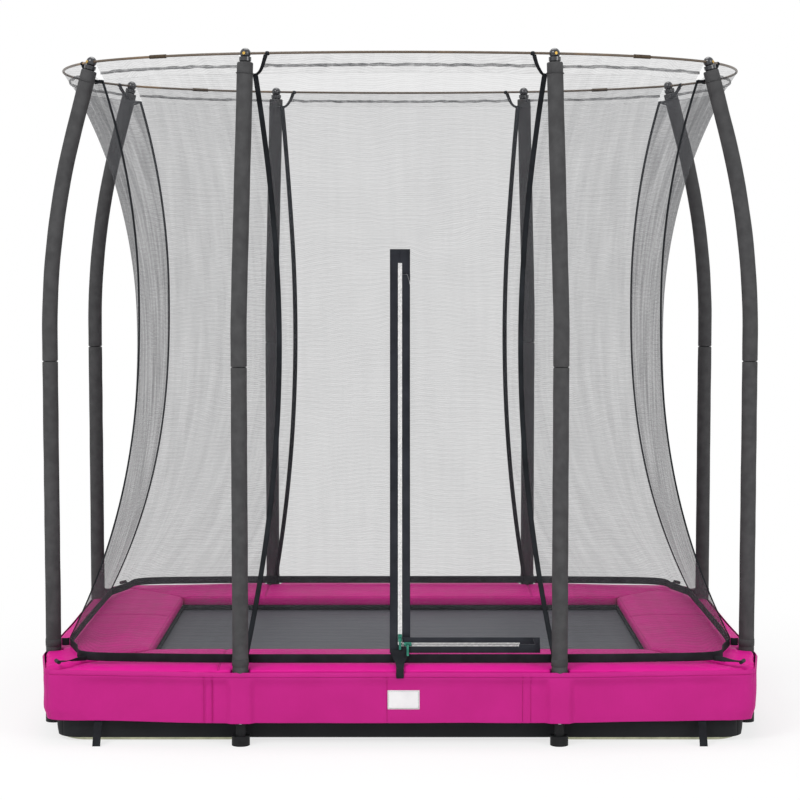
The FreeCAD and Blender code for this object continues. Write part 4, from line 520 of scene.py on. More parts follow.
class Pile:
    """Collects meshes into one."""

    def __init__(self):
        self.points = []
        self.faces = []
        self.uvs = []

    def add(self, points, faces, uvs=None):
        base = len(self.points)
        self.points += [tuple(p) for p in points]
        self.faces += [tuple(base + i for i in face) for face in faces]
        self.uvs += uvs if uvs else [(p[0] * MM, p[2] * MM) for p in points]

    def sheet(self, rows, texture):
        """An open sheet through rows of points."""
        self.add(sum(rows, []), rows_to_faces(len(rows), len(rows[0])), sum(texture, []))

    def loft(self, sections, ring=False):
        """Closed sections joined in order, with ends or joined to a ring."""
        count = len(sections[0])
        last = (len(sections) - 1) * count
        faces = rows_to_faces(len(sections), count, closed=True)
        if ring:
            faces += [(last + j, last + (j + 1) % count, (j + 1) % count, j) for j in range(count)]
        else:
            faces += [tuple(range(count))[::-1], tuple(last + j for j in range(count))]
        self.add(sum(sections, []), faces)

    def tube(self, line, radius, sides=8, ring=False):
        """A round bar along a line. The radius may be a list."""
        count = len(line)
        radii = radius if isinstance(radius, list) else [radius] * count
        sections = []
        normal = None
        for i, point in enumerate(line):
            before = line[i - 1] if (i or ring) else line[i]
            after = line[(i + 1) % count] if (i < count - 1 or ring) else line[i]
            way = (after - before).normalized()
            if normal is None:
                normal = (UP if abs(way.z) < 0.9 else RIGHT).cross(way).normalized()
            normal = (normal - way * normal.dot(way)).normalized()
            side = way.cross(normal)
            sections.append([point + (normal * cos(t) + side * sin(t)) * radii[i] for t in around(sides)])
        self.loft(sections, ring)

    def ribbon(self, line, side, normals, width, thick):
        """A flat strap with thin edges along a line."""
        steps = [(s * width, (0.3 if abs(s) == 0.5 else 0.5) * thick) for s in (-0.5, -0.46, -0.16, 0.16, 0.46, 0.5)]
        steps += [(s, -h) for s, h in steps[::-1]]
        self.loft([[point + side * s + out * h for s, h in steps] for point, out in zip(line, normals)])

    def block(self, centre, ways, sizes):
        halves = [way * (size / 2) for way, size in zip(ways, sizes)]
        points = [centre + halves[0] * a + halves[1] * b + halves[2] * c
                  for a in (-1, 1) for b in (-1, 1) for c in (-1, 1)]
        self.add(points, [(0, 1, 3, 2), (4, 6, 7, 5), (0, 4, 5, 1), (2, 3, 7, 6), (0, 2, 6, 4), (1, 5, 7, 3)])

    def make(self, name, look, flat=False):
        return make(name, self.points, self.faces, look, self.uvs, flat)

    def put(self, name, look, *nodes):
        """Makes the closed piece and settles it on the frame."""
        return settle(tidy(self.make(name, look)), look, nodes)


def lofted(sections, ring=False):
    pile = Pile()
    pile.loft(sections, ring)
    return pile


def tidy(item):
    """Faces of a closed mesh turned outward."""
    bm = bmesh.new()
    bm.from_mesh(item.data)
    bmesh.ops.recalc_face_normals(bm, faces=bm.faces)
    bm.to_mesh(item.data)
    bm.free()
    return item


def settle(item, look, nodes=(), body="frame", joined=None):
    """Hangs the piece on its body, or bakes its place when it is joined, and hides the CAD solids that it stands for.
    """
    SLOT_OF.get(look, look)
    if joined:
        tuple(joined[2])
        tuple(joined[3])
        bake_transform(item)
    else:
        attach(item, body)
    if nodes:
        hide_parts(*nodes)
    return item


def cloth(item, flat):
    """Works out the flat size of a sheet whose cut is not a rectangle, from its area; the size is not kept."""
    area = sum(face.area for face in item.data.polygons)
    wide, long = flat
    scale = sqrt(max(area / (wide * long), 1.0))
    wide, long = wide * scale, long * scale


def apply_modifiers(item):
    """The mesh as its modifiers leave it, with the modifiers gone."""
    graph = bpy.context.evaluated_depsgraph_get()
    mesh = bpy.data.meshes.new_from_object(item.evaluated_get(graph))
    item.modifiers.clear()
    item.data = mesh


def cut(item, pile, look):
    """Takes the pile's shape out of a piece."""
    tool = tidy(pile.make("cutter", look))
    hole = item.modifiers.new("hole", "BOOLEAN")
    hole.object = tool
    hole.operation = "DIFFERENCE"
    hole.solver = "EXACT"
    apply_modifiers(item)
    bpy.data.objects.remove(tool)


def shell(name, outer, inner, look):
    """A thin closed sheet from the rows of its two faces, both in the same order."""
    sections = outer + inner[::-1]
    count = len(outer[0])
    faces = rows_to_faces(len(sections), count)
    last = (len(sections) - 1) * count
    faces += [(last + j, last + j + 1, j + 1, j) for j in range(count - 1)]
    for j in (0, count - 1):
        for i in range(len(outer) - 1):
            k = len(sections) - 1 - i
            faces.append((i * count + j, (i + 1) * count + j, (k - 1) * count + j, k * count + j))
    points = sum(sections, [])
    return tidy(make(name, points, faces, look, [(p.x + p.y, p.z) for p in points]))


# Net panels

INSET = 6.0         # from a panel's seam to its own edge
STOPS = steps_between(LOW, TIE, 96)


def ripple(kind, u, z, length):
    """How far the gauze stands out of its plain surface."""
    edge = smooth(min(u, 1 - u) / 0.12) * smooth((z - LOW) / 120) * smooth((TIE - z) / 90)
    if kind == "front":
        x = (u - 0.5) * length
        calm = smooth((abs(x) - 45) / 90) * smooth((z - 345) / 120)
        wide = ripples(u * 5.0, z / 420.0, 3.1) * 2.4
        fine = ripples(u * 22.0, z / 700.0, 8.2) * 0.9
        return edge * calm * (wide + fine)
    folds = ripples(u * 9.0, z / 900.0, 1.7) * 4.2 + ripples(u * 26.0, z / 500.0, 5.3) * 1.4
    return edge * folds


def panel(kind, sx, sy, count):
    """Rows of points of a panel, 1 mm inside its outer face, and their places on the flat cloth."""
    rows, texture = [], []
    for z in STOPS:
        line = panel_line(panel_points(kind, z, INSET), count)
        length = sum((line[i + 1] - line[i]).length for i in range(len(line) - 1))
        inner = moved_in(line, 1.0)
        shares = [i / (len(inner) - 1) for i in range(len(inner))]
        row = [point + outward(*beside(inner, i)) * ripple(kind, shares[i], z, length)
               for i, point in enumerate(inner)]
        rows.append(flipped(row, sx, sy))
        texture.append([((u - 0.5) * length * MM, z * MM) for u in shares])
    return rows, texture


PANELS = {}
for label, kind, sx, sy in EDGES[1:]:
    pile = Pile()
    pile.sheet(*panel(kind, sx, sy, 12 if kind == "corner" else 40))
    PANELS[label] = pile.make("gauze_" + label, NET_LOOK[kind])
    settle(PANELS[label], NET_LOOK[kind], ["net_" + label])

# The front panel leaves out the door, which lies above the level zip and between the upright zip and the fold.
ZIP_LEVEL = 300.0
TACK = 1446.0


def fold_x(z):
    return 420.0 * (1510.0 - z) / 1210.0


def front_point(x, z):
    """A point of the front gauze by its X and height, in the middle of the cloth."""
    line = panel_points("front", z, INSET)
    reach = line[2].x
    u = (x + reach) / (2 * reach)
    if z <= FLARE:
        y = wall_y(z)
    else:
        spots = arc_points(*line, 40)
        i = min(max(int(u * 40), 0), 39)
        y = spots[i].y + (spots[i + 1].y - spots[i].y) * (u * 40 - i)
    return V(x, -(y - 1.0 + ripple("front", u, z, 2 * reach)), z)


def front_patch(pile, stops, left, right, count):
    rows = []
    for z in stops:
        a, b = left(z), right(z)
        rows.append([front_point(a + (b - a) * i / count, z) for i in range(count + 1)])
    pile.sheet(rows, [[(p.x * MM, p.z * MM) for p in row] for row in rows])


def front_end(z):
    return panel_points("front", z, INSET)[2].x


pile = Pile()
front_patch(pile, STOPS, lambda z: -front_end(z), lambda z: 0.0, 22)
front_patch(pile, steps_between(LOW, ZIP_LEVEL, 3), lambda z: 0.0, front_end, 22)
front_patch(pile, steps_between(ZIP_LEVEL, TACK, 62), fold_x, front_end, 20)
front_patch(pile, steps_between(TACK, TIE, 34), lambda z: 0.0, front_end, 22)
PANELS["front"] = pile.make("gauze_front", "net_gauze")
settle(PANELS["front"], "net_gauze", ["net_front"])

pile = Pile()
front_patch(pile, steps_between(ZIP_LEVEL + 0.8, TACK - 1, 62), lambda z: 0.8, fold_x, 18)
door = pile.make("gauze_door", "net_gauze")


# Zip: tapes and two rows of teeth, bent round the wall's own centre

WALL_CENTRE = -2505.0
TEETH_RADIUS = 1996.95
TOOTH_PITCH = 3.6
CHAIN_END = 372.0       # the level zip's last tooth
ZIP_END = 1481.0        # the upright zip's last tooth
# Section of a tape: which edge, how far in from it, and the radius
TAPE = ((0, 0.0, 1998.0), (0, 0.5, 1997.3), (1, -0.5, 1997.3), (1, 0.0, 1998.0), (1, 0.0, 1999.0), (0, 0.0, 1999.0))


def tape_point(x, z, radius):
    return V(x, WALL_CENTRE + sqrt(radius ** 2 - (z - WAIST) ** 2), z)


def tape_patch(pile, x0, x1, z0, z1, count, upright):
    """A slab of zip tape. x0 and x1 may be functions of z."""
    at = [x if callable(x) else (lambda z, x=x: x) for x in (x0, x1)]
    sections = []
    for i in range(count + 1):
        section = []
        for edge, shift, radius in TAPE:
            if upright:
                z = z0 + (z1 - z0) * i / count
                x = at[edge](z) + shift
            else:
                z = (z0, z1)[edge] + shift
                x = at[0](z) + (at[1](z) - at[0](z)) * (i / count)
            section.append(tape_point(x, z, radius))
        sections.append(section)
    pile.loft(sections)


def teeth(pile, x0, x1, z0, z1, side):
    """Half of a coil along a zip: level or upright, on one side of its line."""
    upright = x0 == x1
    run = (z1 - z0) if upright else (x1 - x0)
    count = int(run / TOOTH_PITCH)
    for i in range(count):
        t = (i + (0.5 if side > 0 else 0.0)) / count
        x, z = (x0 + side * 2.9, z0 + run * t) if upright else (x0 + run * t, z0 + side * 2.9)
        slope = ((z if upright else z0) - WAIST) / TEETH_RADIUS
        up = V(0, -slope, sqrt(1 - slope * slope))
        sizes = (5.4, 2.1, 1.0) if upright else (2.1, 5.4, 1.0)
        pile.block(tape_point(x, z, TEETH_RADIUS), (RIGHT, up, up.cross(RIGHT)), sizes)


def core(pile, x0, x1, z0, z1):
    """The white line of the closed coil, lying on the tape."""
    pile.loft([[tape_point(x, z, radius) for x, radius in ((x0, 1997.0), (x0, 1996.6), (x1, 1996.6), (x1, 1997.0))]
               for z in steps_between(z0, z1, 60)])


tape, rows = Pile(), Pile()
tape_patch(tape, -32.0, 0.0, 276.0, 1525.0, 70, True)
tape_patch(tape, 0.0, 32.0, TACK - 0.8, 1525.0, 6, True)
tape_patch(tape, 0.2, 435.0, 276.0, 299.8, 16, False)
tape_patch(tape, lambda z: fold_x(z) + 0.3, 435.0, ZIP_LEVEL, 320.0, 3, False)
tape_patch(tape, lambda z: min(fold_x(z) + 0.3, 32.0), 32.4, 1418.0, TACK, 3, True)
teeth(rows, 0.0, 0.0, ZIP_LEVEL, ZIP_END, -1)
teeth(rows, 6.0, CHAIN_END, ZIP_LEVEL, ZIP_LEVEL, -1)
core(rows, -6.4, -0.3, ZIP_LEVEL, ZIP_END)
core(rows, -0.2, 6.4, TACK - 0.5, ZIP_END)
zip_fixed = tape.put("zip_tape_wall", "zip_cloth", "zip_tape_fixed")
teeth_fixed = settle(tidy(rows.make("zip_teeth_wall", "teeth", True)), "teeth", ["zip_tape_fixed"])

tape, rows = Pile(), Pile()
tape_patch(tape, 0.6, lambda z: min(32.0, fold_x(z) - 0.2), 320.4, TACK - 1, 64, True)
tape_patch(tape, 0.6, lambda z: fold_x(z) - 0.2, 300.6, 320.0, 20, False)
teeth(rows, 0.0, 0.0, 306.0, TACK - 2, 1)
teeth(rows, 6.0, CHAIN_END, ZIP_LEVEL, ZIP_LEVEL, 1)
core(rows, 0.8, 6.4, 304.0, TACK - 1)
zip_loose = tidy(tape.make("zip_tape_door", "zip_cloth"))
teeth_loose = tidy(rows.make("zip_teeth_door", "teeth", True))
for item, look, node in ((door, "net_gauze", "door_flap"), (zip_loose, "zip_cloth", "zip_tape_flap"),
                         (teeth_loose, "teeth", "zip_tape_flap")):
    settle(item, look, [node], joined=DOOR)
cloth(door, (0.42, 1.2))


# Tapes over the eight seams, bands under the gauze, hems under the ring

TAPES = {}
for kind in ("front", "side"):
    reach = 8.0 if kind == "front" else 5.0
    for sx, sy in SIGNS:
        sections = []
        for z in steps_between(LOW, TIE, 72):
            seam, away = SEAM[kind](z), WAY[kind](z)
            towards = (corner_middle(z) - seam).normalized()
            spots = [seam + away * reach, seam + away * 2, seam, seam + towards * 2, seam + towards * reach]
            sections.append(flipped(moved_in(spots, -0.5) + moved_in(spots, 2.4)[::-1], sx, sy))
        name = "seam_tape_%s_%s_%s" % ((kind,) + words(sx, sy))
        TAPES[kind, sx, sy] = lofted(sections).put(name, "black_webbing", "seam_tapes")

BANDS = {}
for label, kind, sx, sy in EDGES:
    line = panel_line(panel_points(kind, LOW, 1.2), 12 if kind == "corner" else 48)
    sections = []
    for i, point in enumerate(line):
        t = i / (len(line) - 1)
        out = outward(*beside(line, i))
        wave = ripples(t * 7 + sx * 3, sy * 2.2, len(label)) * 1.3 * smooth(min(t, 1 - t) / 0.05)
        base = point + out * (0.3 + wave)
        profile = ((0.0, 0.6), (-3.0, 0.0), (-13.0, 0.3 - wave * 0.3), (-24.5, 0.0), (-27.0, 0.6),
                   (-27.0, 2.2), (-24.5, 2.9), (-13.0, 2.7), (-3.0, 2.9), (0.0, 2.4))
        sections.append(flipped([base - out * depth + V(0, 0, rise) for rise, depth in profile], sx, sy))
    BANDS[label] = lofted(sections).put("band_" + label, "black_webbing", "bottom_band")


def ring_line(kind, sx, sy, count):
    """Points along the ring over one panel, clear of the poles' caps."""
    if kind == "corner":
        start, end, free = TOPS["front", sx, sy], TOPS["side", sx, sy], 22.0
    else:
        ends = ((-1, sy), (1, sy)) if kind == "front" else ((sx, -1), (sx, 1))
        start, end, free = TOPS[(kind,) + ends[0]], TOPS[(kind,) + ends[1]], 72.0
    span = (end - start).length
    radius = bow_radius(span, BULGE[kind])
    arc = 2 * asin(span / 2 / radius) * radius
    return [on_bow(start, end, BULGE[kind], free + (arc - 2 * free) * (i / count)) for i in range(count + 1)]


HEMS = {}
RUFFLES = {}
for label, kind, sx, sy in EDGES:
    count = 40 if kind == "corner" else 90
    lower = flipped(panel_line(panel_points(kind, TIE, 10.8), count // 2 if kind == "corner" else count), sx, sy)
    axis = {"front": 0, "side": 1}.get(kind)
    if axis is not None and lower[0][axis] > lower[-1][axis]:
        lower = lower[::-1]
    upper = ring_line(kind, sx, sy, count)
    outs = [outward(*beside(lower, i)) for i in range(count + 1)]
    rows, texture = [], []
    for t in steps_between(0, 1, 8):
        row = []
        for i, (low, high) in enumerate(zip(lower, upper)):
            point = V(low.x, low.y, TIE - 1).lerp(V(high.x, high.y, RING - 4.5), t)
            gather = ripples(i / count * count * 0.75, t * 1.5, len(label)) * 1.5 * sin(pi * t)
            row.append(point + outs[i] * gather)
        rows.append(row)
        texture.append([(i / count * 0.9, point.z * MM) for i, point in enumerate(row)])
    pile = Pile()
    pile.sheet(rows, texture)
    HEMS[label] = settle(pile.make("hem_" + label, "net_hem"), "net_hem", ["net_hem"])
    strip = []
    for i, out in enumerate(outs):
        run = i / count * count
        t = 0.42 + 0.07 * ripples(run * 0.22, 4.0, len(label) + sy)
        spot = rows[3][i].lerp(rows[4][i], t * 8 - 3)
        half = V(0, 0, (9.0 + 4.0 * ripples(run * 0.5, 1.0, sx + 3)) / 2)
        wave = ripples(run * 0.9, 9.0, 2.0) * 1.4
        strip.append([spot + out * (wave + depth) + half * rise for depth, rise in
                      ((1.2, 1), (1.6, 0), (1.2, -1), (-1.0, -1), (-1.4, 0), (-1.0, 1))])
    RUFFLES[label] = lofted(strip).put("hem_gather_" + label, "net_gather", "net_hem")

for label, kind, sx, sy in EDGES:
    own = [HEMS[label], RUFFLES[label], BANDS[label]]
    if kind == "corner":
        own += [TAPES["front", sx, sy], TAPES["side", sx, sy]]
    if label == "front":
        own += [zip_fixed, teeth_fixed]
    wide = {"front": 0.97, "side": 0.96, "corner": 0.9}[kind]
    cloth(PANELS[label], (wide, 1.86))


# Ties: bindings from the notches of the hem to the seams, and cords round the poles

TIE_GRIP = 26.4
KNOT_HEIGHT = TIE - 4.0
pile = Pile()
tie_loops = Pile()
for (pole, sx, sy), top in TOPS.items():
    seam = flipped([SEAM[pole](KNOT_HEIGHT)], sx, sy)[0]
    centre, axis = pole_axis(pole, sx, sy, KNOT_HEIGHT)
    knot = seam + (centre - seam).normalized() * 5
    spoke = knot - centre
    spoke = (spoke - axis * spoke.dot(axis)).normalized()
    side = axis.cross(spoke)
    grip = centre + spoke * TIE_GRIP
    tie_loops.tube([centre + (spoke * cos(t) + side * sin(t)) * (TIE_GRIP + 0.2 * sin(9 * t))
                    + axis * sin(t) * 0.8 for t in around(40)], 1.4, 8, ring=True)
    pile.tube([grip.lerp(knot, i / 6) - V(0, 0, sin(pi * i / 6) * 1.5) for i in range(7)], 2.9, 8)
    other = TOPS[(pole, -sx, sy) if pole == "front" else (pole, sx, -sy)]
    hem_end = on_bow(top, other, BULGE[pole], 63.0)
    hem_end.z = RING - 7.3
    sway = (hem_end - knot).cross(UP).normalized() * 0.6
    line = []
    for t in steps_between(0, 1, 14):
        point = knot.lerp(hem_end, t)
        point.z = knot.z + (hem_end.z - knot.z) * t ** 2.4
        line.append(point + sway * sin(9 * t))
    pile.tube(line, [4.2 + 2.2 * t * t for t in steps_between(0, 1, 14)], 10)
    for turn in (-1, 0, 1):
        spot = knot + V(0, 0, turn * 2.6)
        pile.tube([spot + V(cos(a), sin(a), 0.25 * sin(a * 2)) * 4.0 for a in around(14)], 1.8, 6,
                  ring=True)
    pile.tube([on_bow(top, other, BULGE[pole], 63.0 + i * 1.5) - UP for i in range(9)],
              [6.0, 6.6, 6.9, 6.9, 6.8, 6.6, 6.2, 5.4, 4.6], 12)
pile.put("ties", "cord", "net_ties")
tie_loops.put("tie_loops", "loop_webbing", "net_ties")


# Foam sleeves on the poles

def sleeve(pole, sx, sy, low, high, name, node):
    steps = max(int((high - low) / 26), 4)
    stations = [low, low + 1.2, low + 3.5]
    stations += [low + 3.5 + (high - low - 7) * i / steps for i in range(1, steps)]
    stations += [high - 3.5, high - 1.2, high]
    outer, inner = [], []
    for z in stations:
        centre, axis = pole_axis(pole, sx, sy, z)
        side = axis.cross(V(0, 1, 0)).normalized()
        up = side.cross(axis)
        end = min(z - low, high - z)
        radius = FOAM - 0.3 - (2.6 if end < 0.1 else (0.9 if end < 2 else 0.0))
        spokes = [(t, side * cos(t) + up * sin(t)) for t in around(32)]
        dents = [ripples(cos(t) * 1.2, sin(t) * 1.2, z / 95.0 + sx * 5 + sy * 9) for t, _ in spokes]
        outer.append([centre + spoke * (radius + min(dent * 0.8, 0.3)) for (_, spoke), dent in zip(spokes, dents)])
        inner.append([centre + spoke * 16.4 for _, spoke in spokes])
    lofted(outer + inner[::-1], ring=True).put(name, "grey_foam", node)


for pole, sx, sy in TOPS:
    place = words(sx, sy)
    node = "foam_" + (place[1] if pole == "front" else place[0])
    tag = "%s_%s_%s" % ((pole,) + place)
    for part, low, high in (("lower", 212.0, 1166.3), ("upper", 1167.7, 2089.0)):
        sleeve(pole, sx, sy, low, high, "foam_%s_%s" % (part, tag), node)


# Pads over the springs. Places are along a side and out from the middle.

INNER = {"front": (800.0, 490.0), "side": (490.0, 800.0)}
OUTER = {"front": (1098.0, 793.0), "side": (793.0, 1098.0)}
FULL = {"front": 840.3, "side": 1145.3}
SHOULDER = {"front": 541.0, "side": 540.0}
SLOPES = [atan2(FULL[k] - OUTER[k][1], OUTER[k][0] - SHOULDER[k]) for k in ("front", "side")]
CORNER_ROUND = 45.0
CORNER_TURN = (pi / 2 - sum(SLOPES)) / 2
PAD_FLOOR = RAIL_TOP + 0.4
NOTCH = 26.6        # radius of the notch round a pole


def corner_frame(kind):
    """The slanted end of a side in plan: start, direction, normal, straight length and the round's centre."""
    start = Vector((SHOULDER[kind], FULL[kind]))
    tip = Vector(OUTER[kind])
    way = (tip - start).normalized()
    normal = Vector((-way.y, way.x))
    straight = (tip - start).length - CORNER_ROUND * tan(CORNER_TURN)
    centre = start + way * straight - normal * CORNER_ROUND
    return start, way, normal, straight, centre


def place_of(co, kind, sign):
    """A vertex as its place along a side and its distance out."""
    x, y = co.x / MM, co.y / MM
    return (x, y * sign) if kind == "front" else (y, x * sign)


def rounded(item, kind, sign, margin):
    """Brings the outer corners of a pad inside the round that the skirt follows."""
    way, normal, centre = (corner_frame(kind)[i] for i in (1, 2, 4))
    for vertex in item.data.vertices:
        along, out = place_of(vertex.co, kind, sign)
        spoke = Vector((abs(along), out)) - centre
        if spoke.dot(way) > 0 and spoke.dot(normal) > 0 and spoke.length > CORNER_ROUND - margin:
            spot = centre + spoke.normalized() * (CORNER_ROUND - margin)
            vertex.co.xy = on_side(kind, sign, copysign(spot.x, along) * MM, spot.y * MM).xy
    item.data.update()


def creased(item, kind, sign, reach, depth):
    """Presses creases into the top of a pad round its outer corners."""
    tip = Vector(OUTER[kind])
    for vertex in item.data.vertices:
        x, y = vertex.co.x / MM, vertex.co.y / MM
        along, out = place_of(vertex.co, kind, sign)
        near = 1 - smooth((Vector((abs(along), out)) - tip).length / reach)
        if near > 0 and vertex.co.z > 0.22:
            fold = abs(ripples(x / 46.0, y / 46.0, 2.0)) + 0.5 * ripples(x / 90.0, y / 90.0, 7.0) ** 2
            vertex.co.z -= depth * MM * near * min(fold * 2.2, 1.0)
    item.data.update()


def outer_line(kind, along):
    """The inner face of the skirt, out from the middle."""
    beyond = abs(along) - SHOULDER[kind]
    if beyond <= 0:
        return FULL[kind]
    tip, tip_out = OUTER[kind]
    return FULL[kind] + (tip_out - FULL[kind]) * beyond / (tip - SHOULDER[kind])


def pad_out(kind, along):
    hollow = 5.0 * (1 - smooth(abs(along) / SHOULDER[kind]))
    return outer_line(kind, along) - 0.6 - hollow


def mitre(kind, out):
    """How far along a side the mitre lies at a distance out."""
    inner, outer = INNER[kind], OUTER[kind]
    return inner[0] + (out - inner[1]) * (outer[0] - inner[0]) / (outer[1] - inner[1]) - 0.6


def pad_section(kind, part, t, along, slim):
    """Distance out and height of a point of the pad's section."""
    inner = INNER[kind][1]
    dip = 7.0 * smooth((abs(along) - SHOULDER[kind]) / (OUTER[kind][0] - SHOULDER[kind]))
    bend = 11.0 - slim
    edge = pad_out(kind, along) - slim - bend
    rim = 238.0 - dip - slim
    top_in = PAD_FLOOR + 39.6 - dip / 2 - slim
    if part == "face":
        return inner + slim - sin(t * pi) * 3.5, PAD_FLOOR + slim * 0.3 + (top_in - PAD_FLOOR) * t
    if part == "top":
        crown = 242.0 - dip - slim
        height = top_in * (1 - t) * (1 - 2 * t) + crown * 4 * t * (1 - t) + rim * t * (2 * t - 1)
        return inner + slim + (edge - inner - slim) * t, height
    if part == "roll":
        return edge + bend * sin(pi * t), rim - bend + bend * cos(pi * t)
    frame_out = HALF_FRAME[kind]
    if t > 0.75:
        k = (1 - t) / 0.25
        return edge + (frame_out - edge) * k, (rim - 2 * bend) * (1 - k) + PAD_FLOOR * k
    return inner + (frame_out - inner) * t / 0.75, PAD_FLOOR


def pad_mesh(kind, sign, name, slim):
    """A pad, slimmer all round than its final size, with notches for the poles."""
    profile = [("face", i / 4) for i in range(5)] + [("top", i / 24) for i in range(1, 25)]
    profile += [("roll", i / 10) for i in range(1, 11)] + [("floor", 1 - i / 18) for i in range(1, 18)]
    rows = []
    for s in range(121):
        t = s / 120 * 2 - 1
        row = []
        for part, share in profile:
            along = t * 900
            for _ in range(5):      # the mitre moves with the distance out
                out, z = pad_section(kind, part, share, along, slim)
                along = t * (mitre(kind, out) - slim)
            row.append(on_side(kind, sign, along, out, z))
        rows.append(row)
    cutter = Pile()
    item = tidy(lofted(rows).make(name, "pad_cover"))
    spot, out = POLE_SPOT[kind]
    for side in (-1, 1):
        angles = [pi * (1 + k / 24) for k in range(25)]
        ring = [(spot * side + NOTCH * cos(t), out + NOTCH * sin(t)) for t in angles]
        ring += [(spot * side + NOTCH, out + 60), (spot * side - NOTCH, out + 60)]
        cutter.loft([[on_side(kind, sign, a, b, z) for a, b in ring] for z in (150, 300)])
    cut(item, cutter, "pad_cover")
    return item


def swell(item, cap, voxel, limit):
    """Blows a pad up as cloth for a moment, holding each point within the cap."""
    remesh = item.modifiers.new("grain", "REMESH")
    remesh.mode = "VOXEL"
    remesh.voxel_size = voxel
    apply_modifiers(item)
    rest = np.array([v.co for v in item.data.vertices])
    scene = bpy.context.scene
    press = item.modifiers.new("press", "CLOTH")
    for key, value in (("use_pressure", True), ("uniform_pressure_force", 4.0), ("shrink_min", -0.035),
                       ("quality", 4), ("tension_stiffness", 18), ("bending_stiffness", 0.3)):
        setattr(press.settings, key, value)
    press.settings.effector_weights.gravity = 0.0
    press.point_cache.frame_start = 1
    press.point_cache.frame_end = 20
    for step in range(1, 21):
        scene.frame_set(step)
    apply_modifiers(item)
    scene.frame_set(1)
    shift = np.array([v.co for v in item.data.vertices]) - rest
    far = np.linalg.norm(shift, axis=1, keepdims=True)
    now = rest + shift * np.minimum(1.0, cap / np.maximum(far, 1e-9))
    now[:, 2] = np.clip(now[:, 2], 0.2003, limit)
    item.data.vertices.foreach_set("co", now.astype(np.float32).ravel())
    item.data.update()


def groove(item, axis, place, depth):
    """Sinks a line sewn across the top of a pad."""
    for vertex in item.data.vertices:
        near = abs(vertex.co[axis] - place * MM)
        if vertex.co.z > 0.214 and near < 0.016:
            vertex.co.z -= depth * exp(-(near / 0.0065) ** 2)
    item.data.update()


def thread(pile, tree, spots, lift, radius):
    """A thread over the skin of a pad, through places in plan."""
    line = []
    for spot in spots:
        hit = tree.ray_cast(Vector((spot.x * MM, spot.y * MM, 0.4)), Vector((0, 0, -1)))[0]
        if hit:
            line.append(V(spot.x, spot.y, hit.z / MM + lift))
    if len(line) > 3:
        pile.tube(line, radius, 5)


PAD_SEAMS = {"front": [-560.0], "back": [-500.0, 490.0], "left": [95.0], "right": [95.0]}
for label, kind, sign in SIDES:
    name = "pad_" + label
    item = pad_mesh(kind, sign, name + "_cushion", slim=3.0)
    rounded(item, kind, sign, margin=4.0)
    swell(item, cap=0.0042, voxel=0.009, limit=0.2431)
    rounded(item, kind, sign, margin=0.2)
    creased(item, kind, sign, reach=300.0, depth=7.0)
    finer = item.modifiers.new("finer", "SUBSURF")
    finer.levels = finer.render_levels = 1
    apply_modifiers(item)
    for place in PAD_SEAMS[label]:
        groove(item, 0 if kind == "front" else 1, place, depth=0.0028)
    smoothed(item)
    item.data.materials.clear()
    item.data.materials.append(LOOKS["pad_cover"].material)
    bpy.context.view_layer.update()
    tree = BVHTree.FromObject(item, bpy.context.evaluated_depsgraph_get())
    pile = Pile()
    inner = INNER[kind][1]
    for place in PAD_SEAMS[label]:
        outs = np.arange(inner + 5, pad_out(kind, place) - 5, 9)
        for shift in (-2.2, 2.2):
            spots = [on_side(kind, sign, place + shift, out) for out in outs]
            thread(pile, tree, spots, lift=0.15, radius=0.7)
    end = int(mitre(kind, inner + 12)) - 10
    spots = [on_side(kind, sign, along, inner + 12) for along in range(-end, end, 12)]
    thread(pile, tree, spots, lift=0.1, radius=0.6)
    stitches = pile.make(name + "_stitches", "thread_pink")
    settle(item, "pad_cover", [name])
    settle(stitches, "thread_pink", [name])


# Black strip under the pads' inner edges, over the ends of the springs: painted shade, a dark sheet that stands for
# the shadow in the gap under each pad

for label, kind, sign in SIDES:
    reach, out = INNER[kind]
    sections = []
    for i in range(61):
        along = -reach + 2 * reach * i / 60
        hang = 190.6 + 1.2 * ripples(along / 70.0, sign, reach / 100.0)
        profile = ((0.8, 206.0), (2.6, 206.0), (2.6, 198.0), (2.2, hang), (0.9, hang), (0.5, 198.0))
        sections.append([on_side(kind, sign, along, out + o, z) for o, z in profile])
    # painted shade: this black strip darkens the gap under the pad's inner edge, where only shadow falls
    lofted(sections).put("pad_shade_strip_" + label, "black_webbing", "pad_" + label)


# Skirt: four sheets sewn to the pads, drawn in between the poles, that meet in rounded corners

SKIRT_SEAM = 215.0
FRONT_SEAMS = (-603.0, -577.0, -40.0, 377.0, 402.0)
SKIRT_LEVELS = [229.5, 228.4, 226.0, 222.0, 218.5, 216.6, 215.7, 215.0, 214.3, 213.4, 211.0, 206.0, 200.0]
SKIRT_LEVELS += [float(z) for z in range(192, 82, -10)] + [84.0, 78.0, 74.5, 72.2, 71.2]


def skirt_spot(kind, run):
    """Plan place and outward direction at a distance along the skirt from its middle."""
    start, way, normal, straight, centre = corner_frame(kind)
    beyond = abs(run) - start.x
    side = 1 if run >= 0 else -1
    if beyond <= 0:
        place, out = Vector((abs(run), FULL[kind])), Vector((0, 1))
    elif beyond <= straight:
        place, out = start + way * beyond, normal
    else:
        angle = (beyond - straight) / CORNER_ROUND
        out = normal * cos(angle) + way * sin(angle)
        place = centre + out * CORNER_ROUND
    return Vector((place.x * side, place.y)), Vector((out.x * side, out.y))


def skirt_end(kind):
    start, _, _, straight, _ = corner_frame(kind)
    return start.x + straight + CORNER_ROUND * CORNER_TURN


